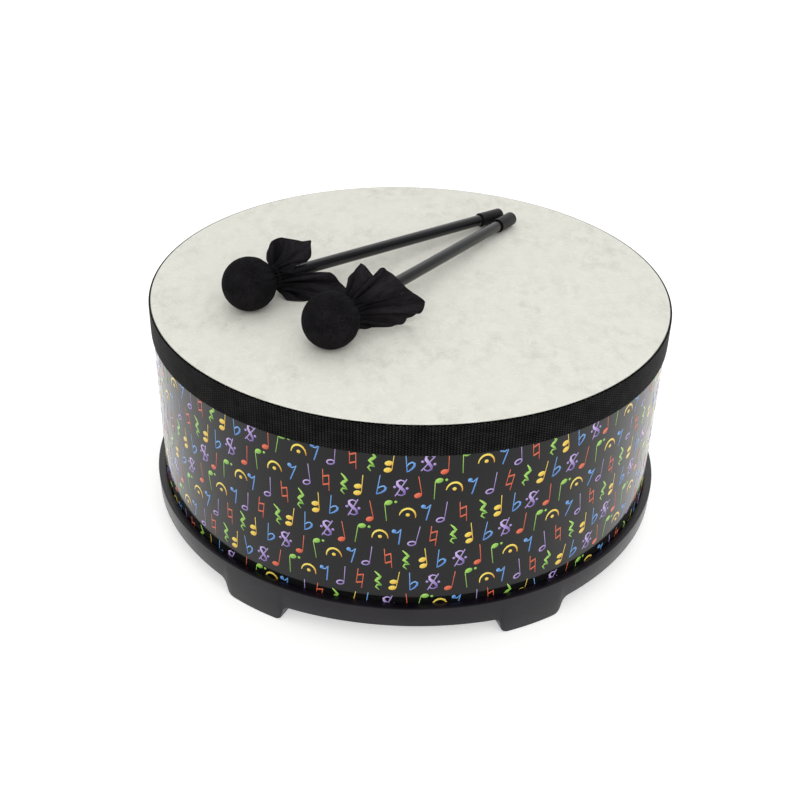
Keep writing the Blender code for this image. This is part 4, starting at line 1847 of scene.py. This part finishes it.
@dataclass
class Mallet:
    """A mallet that lies on the head: its rod, end cap, ball, and the cloth tied over the ball."""

    name: str
    ball: Point
    aim: float
    hem: list[Corner]
    reach: float = 0.268
    ball_radius: float = 0.0204
    core_radius: float = 0.0189
    bore_depth: float = 0.026
    rod_radius: float = 0.00475
    rod_edge: float = 0.0008
    cap_radius: float = 0.0058
    cap_length: float = 0.025
    cap_floor: float = 0.002
    cap_edge: float = 0.0015
    cap_bead: float = 0.0002
    bead_length: float = 0.0016
    bead_end: float = 0.0022
    bead_radius: float = 0.0004
    mouth_radius: float = 0.0005
    bore_edge: float = 0.0002
    gap: float = 0.0003
    neck_radius: float = 0.0080
    neck_setback: float = 0.0008
    neck_length: float = 0.003
    thread_radius: float = 0.00035
    thread_length: float = 0.0019
    thread_turns: float = 3.5
    wrap_angle: float = math.radians(150)
    draw_slack: float = math.radians(30)
    draw_lead: float = 0.6
    flare_lead: float = 0.15
    hem_softness: float = 0.5
    rod_from: float = -0.2
    cloth_thickness: float = 0.00045
    cloth_columns: int = 324
    ball_rows: int = 36
    draw_rows: int = 7
    neck_rows: int = 4
    skirt_rows: int = 40
    gathers: int = 22
    gather_depth: float = 0.0010
    pleats: int = 7
    small_pleats: int = 13
    pleat_depth: float = 0.0026
    flat_size: float = 0.145
    flat_area: float = 0.0120
    facets: int = 48

    @property
    def neck_start(self) -> float:
        """Where the cloth is drawn in, along the rod."""
        return self.ball_radius + self.neck_setback

    @property
    def neck_end(self) -> float:
        """Where the cloth opens into its skirt, along the rod."""
        return self.neck_start + self.neck_length

    @property
    def bore(self) -> float:
        """The radius of a hole that the rod goes into."""
        return self.rod_radius + self.gap

    @property
    def tilt(self) -> float:
        """How far the rod dips towards its cap, which lies on the head."""
        return math.asin((self.ball_radius - self.cap_radius) / self.reach)

    @property
    def place(self) -> Matrix:
        """The mallet's own frame.

        Returns:
            Its matrix: Z along the rod from the ball's centre, Y up, X to the left.
        """
        level = math.cos(self.tilt)
        along = Vector((level * math.cos(self.aim), level * math.sin(self.aim), -math.sin(self.tilt)))
        left = Vector((0.0, 0.0, 1.0)).cross(along).normalized()
        axes = Matrix((left, along.cross(left), along)).transposed().to_4x4()
        head_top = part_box("drumhead")[1].z
        return Matrix.Translation((*self.ball, head_top + self.gap + self.ball_radius)) @ axes

    def add(self, part: str, mesh: bpy.types.Mesh, finish: Finish, node: str) -> bpy.types.Object:
        """Lay a mesh of this mallet in place as a piece that stands for a CAD node.

        Args:
            part: the piece's name, after the mallet's.
            mesh: its mesh in the mallet's own frame.
            finish: its finish.
            node: the node's name, after the mallet's.

        Returns:
            The piece.
        """
        spots = np.zeros(len(mesh.vertices) * 3, np.float32)
        mesh.vertices.foreach_get("co", spots)
        mark(mesh, "local", spots)
        mesh.transform(self.place)
        return add_piece(f"{self.name}_{part}", mesh, finish, self.name, f"{self.name}_{node}")

    def build(self, threads: ThreadRecipe) -> None:
        """Make the rod, cap, cloth and thread, and finish the ball.

        Args:
            threads: the tree that winds the thread.
        """
        self.add("rod", self.rod(), RodPaint(), "handle")
        self.add("vinyl_cap", self.cap(), DippedVinyl(), "end_cap")
        cloth = self.add("drawn_cloth", self.cloth(), WovenCloth(), "cloth")
        thread = self.add("thread", self.thread(threads), WaxedThread(), "tie")
        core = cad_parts[f"{self.name}_core"]
        core.data.materials.clear()
        core.data.materials.append(BareWood().material())
        LOG.info("%s_core: kept, in bare wood", self.name)

    def rod(self) -> bpy.types.Mesh:
        """Turn the straight rod, from inside the ball to inside the cap.

        Returns:
            Its mesh.
        """
        start = math.sqrt(self.core_radius**2 - self.bore**2) - self.bore_depth + self.gap
        end = self.reach - self.cap_floor - self.gap
        corners = [
            (0.0, end, 0),
            (self.rod_radius, end, self.rod_edge),
            (self.rod_radius, start, self.rod_edge),
            (0.0, start, 0),
        ]
        return lathe("rod", rounded(corners, closed=False), self.facets, closed=False)

    def cap(self) -> bpy.types.Mesh:
        """Turn the cap, with a rolled bead round its mouth.

        Returns:
            Its mesh.
        """
        mouth = self.reach - self.cap_length
        bead = self.cap_radius + self.cap_bead
        corners = [
            (0.0, self.reach, 0),
            (self.cap_radius, self.reach, self.cap_edge),
            (self.cap_radius, mouth + self.bead_end, self.bead_radius),
            (bead, mouth + self.bead_length, self.bead_radius),
            (bead, mouth, self.mouth_radius),
            (self.bore, mouth, self.bore_edge),
            (self.bore, self.reach - self.cap_floor, 0),
            (0.0, self.reach - self.cap_floor, 0),
        ]
        return lathe("vinyl_cap", rounded(corners, closed=False), self.facets, closed=False)

    def thread(self, threads: ThreadRecipe) -> bpy.types.Mesh:
        """Wind the thread that draws the cloth in behind the ball.

        Args:
            threads: the tree that winds it.

        Returns:
            Its mesh.
        """
        values = {
            "Radius": self.neck_radius,
            "Length": self.thread_length,
            "Turns": self.thread_turns,
            "Thread radius": self.thread_radius,
            "Finish": WaxedThread().material(),
        }
        mesh = threads.mesh("thread", values)
        start = (self.neck_start + self.neck_end - self.thread_length) / 2
        mesh.transform(Matrix.Translation((0, 0, start)))
        return mesh

    def hem_line(self) -> np.ndarray:
        """Draw the hem, softly curved between its corners.

        Returns:
            A point for each of the cloth's columns.
        """
        corners = np.array([(-right, up, self.neck_end + beyond) for right, up, beyond in self.hem])
        runs = np.linalg.norm(np.roll(corners, -1, axis=0) - corners, axis=1)
        starts = np.concatenate([[0.0], np.cumsum(runs)])
        distances = np.linspace(0, starts[-1], self.cloth_columns, endpoint=False)
        for start in starts[:-1]:
            distances[np.abs(distances - start).argmin()] = start
        spots = []
        for distance in distances:
            run = int(np.searchsorted(starts, distance, side="right")) - 1
            share = (distance - starts[run]) / runs[run]
            before, start, end, after = (corners[(run + step) % len(corners)] for step in (-1, 0, 1, 2))
            bend = (end - before) * share + (2 * before - 5 * start + 4 * end - after) * share**2
            bend += (3 * start - before - 3 * end + after) * share**3
            curved = start + 0.5 * bend
            straight = start + (end - start) * share
            spots.append(self.hem_softness * curved + (1 - self.hem_softness) * straight)
        return np.array(spots)

    def smooth_cloth(self, turns: np.ndarray) -> tuple[np.ndarray, np.ndarray]:
        """The cloth without its gathers.

        Args:
            turns: each column's angle round the rod.

        Returns:
            The points, as rows by columns by three, and for each row how far it is along the cloth:
            from -1 at the front of the ball to nought at the neck and 1 at the hem.
        """
        spokes = np.stack([-np.cos(turns), np.sin(turns), 0 * turns], axis=1)
        ahead = np.array([0.0, 0.0, 1.0])
        angles = np.linspace(0, self.wrap_angle, self.ball_rows)
        ball = self.ball_radius
        rings = [(ball * math.sin(angle), -ball * math.cos(angle)) for angle in angles]
        radius, along = rings[-1]
        drawn_in = math.tan(math.pi - self.wrap_angle + self.draw_slack)
        lead = along + (radius - self.neck_radius) / drawn_in * self.draw_lead
        for share in np.linspace(0, 1, self.draw_rows + 1)[1:]:
            bent = (1 - share) ** 2 * radius + (1 - (1 - share) ** 2) * self.neck_radius
            forward = (1 - share) ** 2 * along + 2 * share * (1 - share) * lead + share**2 * self.neck_start
            rings.append((bent, forward))
        for along in np.linspace(self.neck_start, self.neck_end, self.neck_rows + 1)[1:]:
            rings.append((self.neck_radius, along))
        rows = [spokes * radius + ahead * along for radius, along in rings]
        progress = list(np.linspace(-1, 0, len(rings)))
        neck, hem = rows[-1], self.hem_line()
        lengths = np.linalg.norm(hem - neck, axis=1, keepdims=True)
        control = neck + ahead * lengths * self.flare_lead
        for share in np.linspace(0, 1, self.skirt_rows + 1)[1:]:
            rows.append((1 - share) ** 2 * neck + 2 * share * (1 - share) * control + share**2 * hem)
            progress.append(share)
        return np.array(rows), np.array(progress)

    def cloth(self) -> bpy.types.Mesh:
        """Drape the square of cloth over the ball, gathered at the neck and falling in pleats.

        Returns:
            Its mesh, with both sides.
        """
        first = math.atan2(self.hem[0][1], self.hem[0][0])
        turns = first + 2 * math.pi * np.arange(self.cloth_columns) / self.cloth_columns
        smooth, progress = self.smooth_cloth(turns)
        down = np.gradient(smooth, axis=0)
        around = np.roll(smooth, -1, axis=1) - np.roll(smooth, 1, axis=1)
        normals = np.cross(down, around)
        normals /= np.linalg.norm(normals, axis=2, keepdims=True) + TINY
        widest = self.ball_rows // 2
        if (normals[widest] * smooth[widest]).sum() < 0:
            normals = -normals
        heights, shares = self.folds(turns, progress)
        points = smooth + normals * heights[:, :, None]
        points[0] = smooth[0]
        self.keep_clear(points, progress)
        steps = np.linalg.norm(np.diff(smooth, axis=0), axis=2)
        distance = np.concatenate([np.zeros((1, self.cloth_columns)), np.cumsum(steps, axis=0)])
        # The third value is the fold share, which sets the cloth's painted shade in its valleys.
        flat = np.stack([distance * np.cos(turns), distance * np.sin(turns), shares], axis=-1)
        mesh = skin("drawn_cloth", points, closed=False, flat=flat)
        area = sum(face.area for face in mesh.polygons)
        LOG.info("%s cloth: %.5f m2 on one side", self.name, area)
        return modified(mesh, "SOLIDIFY", thickness=self.cloth_thickness, offset=-1.0)

    def keep_clear(self, points: np.ndarray, progress: np.ndarray) -> None:
        """Push the cloth out of the rod and up out of the drum's head.

        Args:
            points: the cloth's points, as rows by columns by three, which are moved.
            progress: each row's place along the cloth.
        """
        radial = np.linalg.norm(points[:, :, :2], axis=2)
        least = self.rod_radius + self.cloth_thickness + self.gap
        near_rod = (progress > self.rod_from)[:, None] & (radial < least)
        points[:, :, :2] *= np.where(near_rod, least / np.maximum(radial, TINY), 1.0)[:, :, None]
        axis_height = self.ball_radius + self.gap - points[:, :, 2] * math.sin(self.tilt)
        lowest = (self.gap - axis_height) / math.cos(self.tilt)
        lowest += np.where(progress > 0, self.cloth_thickness, 0.0)[:, None]
        points[:, :, 1] = np.maximum(points[:, :, 1], lowest)

    def folds(self, turns: np.ndarray, progress: np.ndarray) -> tuple[np.ndarray, np.ndarray]:
        """How far each point of the cloth stands out of its smooth form.

        Args:
            turns: each column's angle round the rod.
            progress: each row's place along the cloth.

        Returns:
            Heights in metres and as shares from 0 in a valley to 1 on a ridge, as rows by columns; the
            shares set the cloth's painted shade in its valleys.
        """
        wander = 1.1 * np.sin(5 * turns + 0.7) + 0.8 * np.sin(9 * turns + 2.1)

        def ridges(count: int, shift: float) -> np.ndarray:
            """Round ridges parted by sharp valleys, from -1 to 1."""
            return 2 * np.abs(np.cos((count * turns + 0.8 * wander + shift) / 2)) - 1

        def rise(low: float, high: float) -> np.ndarray:
            """A smooth step along the cloth."""
            share = np.clip((progress - low) / (high - low), 0, 1)
            return (share * share * (3 - 2 * share))[:, None]

        gathers = ridges(self.gathers, 0.0)
        pleats = 0.7 * ridges(self.pleats, 0.4) + 0.3 * ridges(self.small_pleats, 1.3)
        gathered = 0.4 * rise(-0.62, -0.3) + 0.6 * rise(-0.3, -0.08)
        gathered = gathered * (1 - 0.8 * rise(0.06, 0.35) - 0.2 * rise(0.35, 0.8))
        pleated = rise(0.0, 0.3) * (1 - 0.45 * rise(0.55, 1.0))
        heights = self.gather_depth * gathered * gathers + self.pleat_depth * pleated * pleats
        # These shares paint shade into the cloth's fold valleys.
        shares = 0.8 + 0.55 * gathered * (gathers - 0.8) + 0.6 * pleated * (pleats - 0.5)
        return heights, np.clip(shares, 0, 1)


# Studio


@dataclass(frozen=True)
class Sun:
    """A broad soft light from one side."""

    comes_from: Triple
    strength: float
    angle: float = math.radians(60)
    mirrored: bool = True

    def add(self) -> None:
        """Hang the light."""
        lamp = bpy.data.lights.new("sun", "SUN")
        lamp.energy = self.strength
        lamp.angle = self.angle
        sun = new_object("sun", lamp)
        sun.rotation_euler = Vector(self.comes_from).to_track_quat("Z", "Y").to_euler()
        sun.visible_glossy = self.mirrored


@dataclass
class Studio:
    """A pale floor, soft light from above and the camera."""

    camera_place: Triple = (0.0, -0.83413, 0.60240)
    camera_right: Triple = (0.99947626, 0.02201075, 0.02372191)
    camera_up: Triple = (-0.03179535, 0.53154258, 0.84643460)
    lens: float = 52.49
    floor_radius: float = 8.0
    floor_sides: int = 96
    floor_colour: Colour = (0.88, 0.88, 0.87)
    floor_glow: float = 0.42
    floor_gleam: tuple[float, float] = (0.12, 0.42)
    floor_gleam_depth: tuple[float, float] = (-0.40, -0.05)
    sky: float = 0.668
    sky_gleam: tuple[float, float] = (0.15, 1.0)
    sky_gleam_way: tuple[float, float] = (-0.1, 0.85)
    suns: tuple[Sun, ...] = (
        Sun((0.0, 0.6, 0.9), 0.35, math.radians(58)),
        Sun((0.2, -1.0, 0.75), 1.15, mirrored=False),
    )

    def build(self) -> None:
        """Set out the camera, the floor, the sky and the suns."""
        bpy.context.scene.view_settings.view_transform = "Standard"
        self.add_camera()
        self.add_floor()
        self.add_sky()
        for sun in self.suns:
            sun.add()

    def add_camera(self) -> None:
        """Put the camera where the photograph was taken from."""
        data = bpy.data.cameras.new("camera")
        data.lens = self.lens
        camera = new_object("camera", data)
        right, up = Vector(self.camera_right), Vector(self.camera_up)
        axes = Matrix((right, up, right.cross(up))).transposed().to_4x4()
        camera.matrix_world = Matrix.Translation(self.camera_place) @ axes
        bpy.context.scene.camera = camera

    def add_floor(self) -> None:
        """Lay a pale disc that keeps the drum's shadow and is white to the camera."""
        shape = bmesh.new()
        bmesh.ops.create_circle(shape, cap_ends=True, segments=self.floor_sides, radius=self.floor_radius)
        mesh = bpy.data.meshes.new("floor")
        shape.to_mesh(mesh)
        shape.free()
        floor = new_object("floor", mesh)
        surface = Surface("floor")
        rays = surface.node("ShaderNodeLightPath")
        depth = surface.split(surface.place())["Y"]
        gleam = surface.spread(depth, *self.floor_gleam_depth, *self.floor_gleam)
        glow = rays["Is Camera Ray"] * self.floor_glow + rays["Is Glossy Ray"] * gleam
        surface.feed(
            surface.shader,
            {
                "Base Color": self.floor_colour,
                "Roughness": 1.0,
                "Specular IOR Level": 0.0,
                "Emission Color": glow,
                "Emission Strength": 1.0,
            },
        )
        mesh.materials.append(surface.material)

    def add_sky(self) -> None:
        """Make an even sky that is white to the camera.

        Where gloss mirrors it, it is dark in front of the drum and bright behind.
        """
        world = bpy.data.worlds.new("sky")
        world.use_nodes = True
        bpy.context.scene.world = world
        graph = Graph(world.node_tree)
        rays = graph.node("ShaderNodeLightPath")
        way = graph.split(graph.node("ShaderNodeTexCoord")["Generated"])["Y"]
        front, behind = self.sky_gleam
        gleam = graph.spread(way, *self.sky_gleam_way, front - self.sky, behind - self.sky)
        strength = rays["Is Camera Ray"] * (1 - self.sky) + rays["Is Glossy Ray"] * gleam + self.sky
        background = world.node_tree.nodes["Background"]
        graph.feed(background, {"Color": (1.0, 1.0, 1.0), "Strength": strength})


def main() -> None:
    """Build the studio, the drum and its mallets."""
    logging.basicConfig(level=logging.INFO, format="%(name)s: %(message)s")
    Studio().build()
    bands = BandRecipe()
    threads = ThreadRecipe()
    ring = BaseRing()
    Head().build()
    Trim().build(bands)
    Wrap().build(bands)
    Tube().build()
    ring.build()
    Screws(ring).build()
    rear = Mallet("rear_mallet", ball=(-0.1210, -0.0510), aim=math.radians(42.4), hem=REAR_HEM)
    front = Mallet("front_mallet", ball=(-0.056049, -0.104174), aim=math.radians(57.8), hem=FRONT_HEM)
    for mallet in (rear, front):
        mallet.build(threads)


if __name__ == "__main__":
    main()
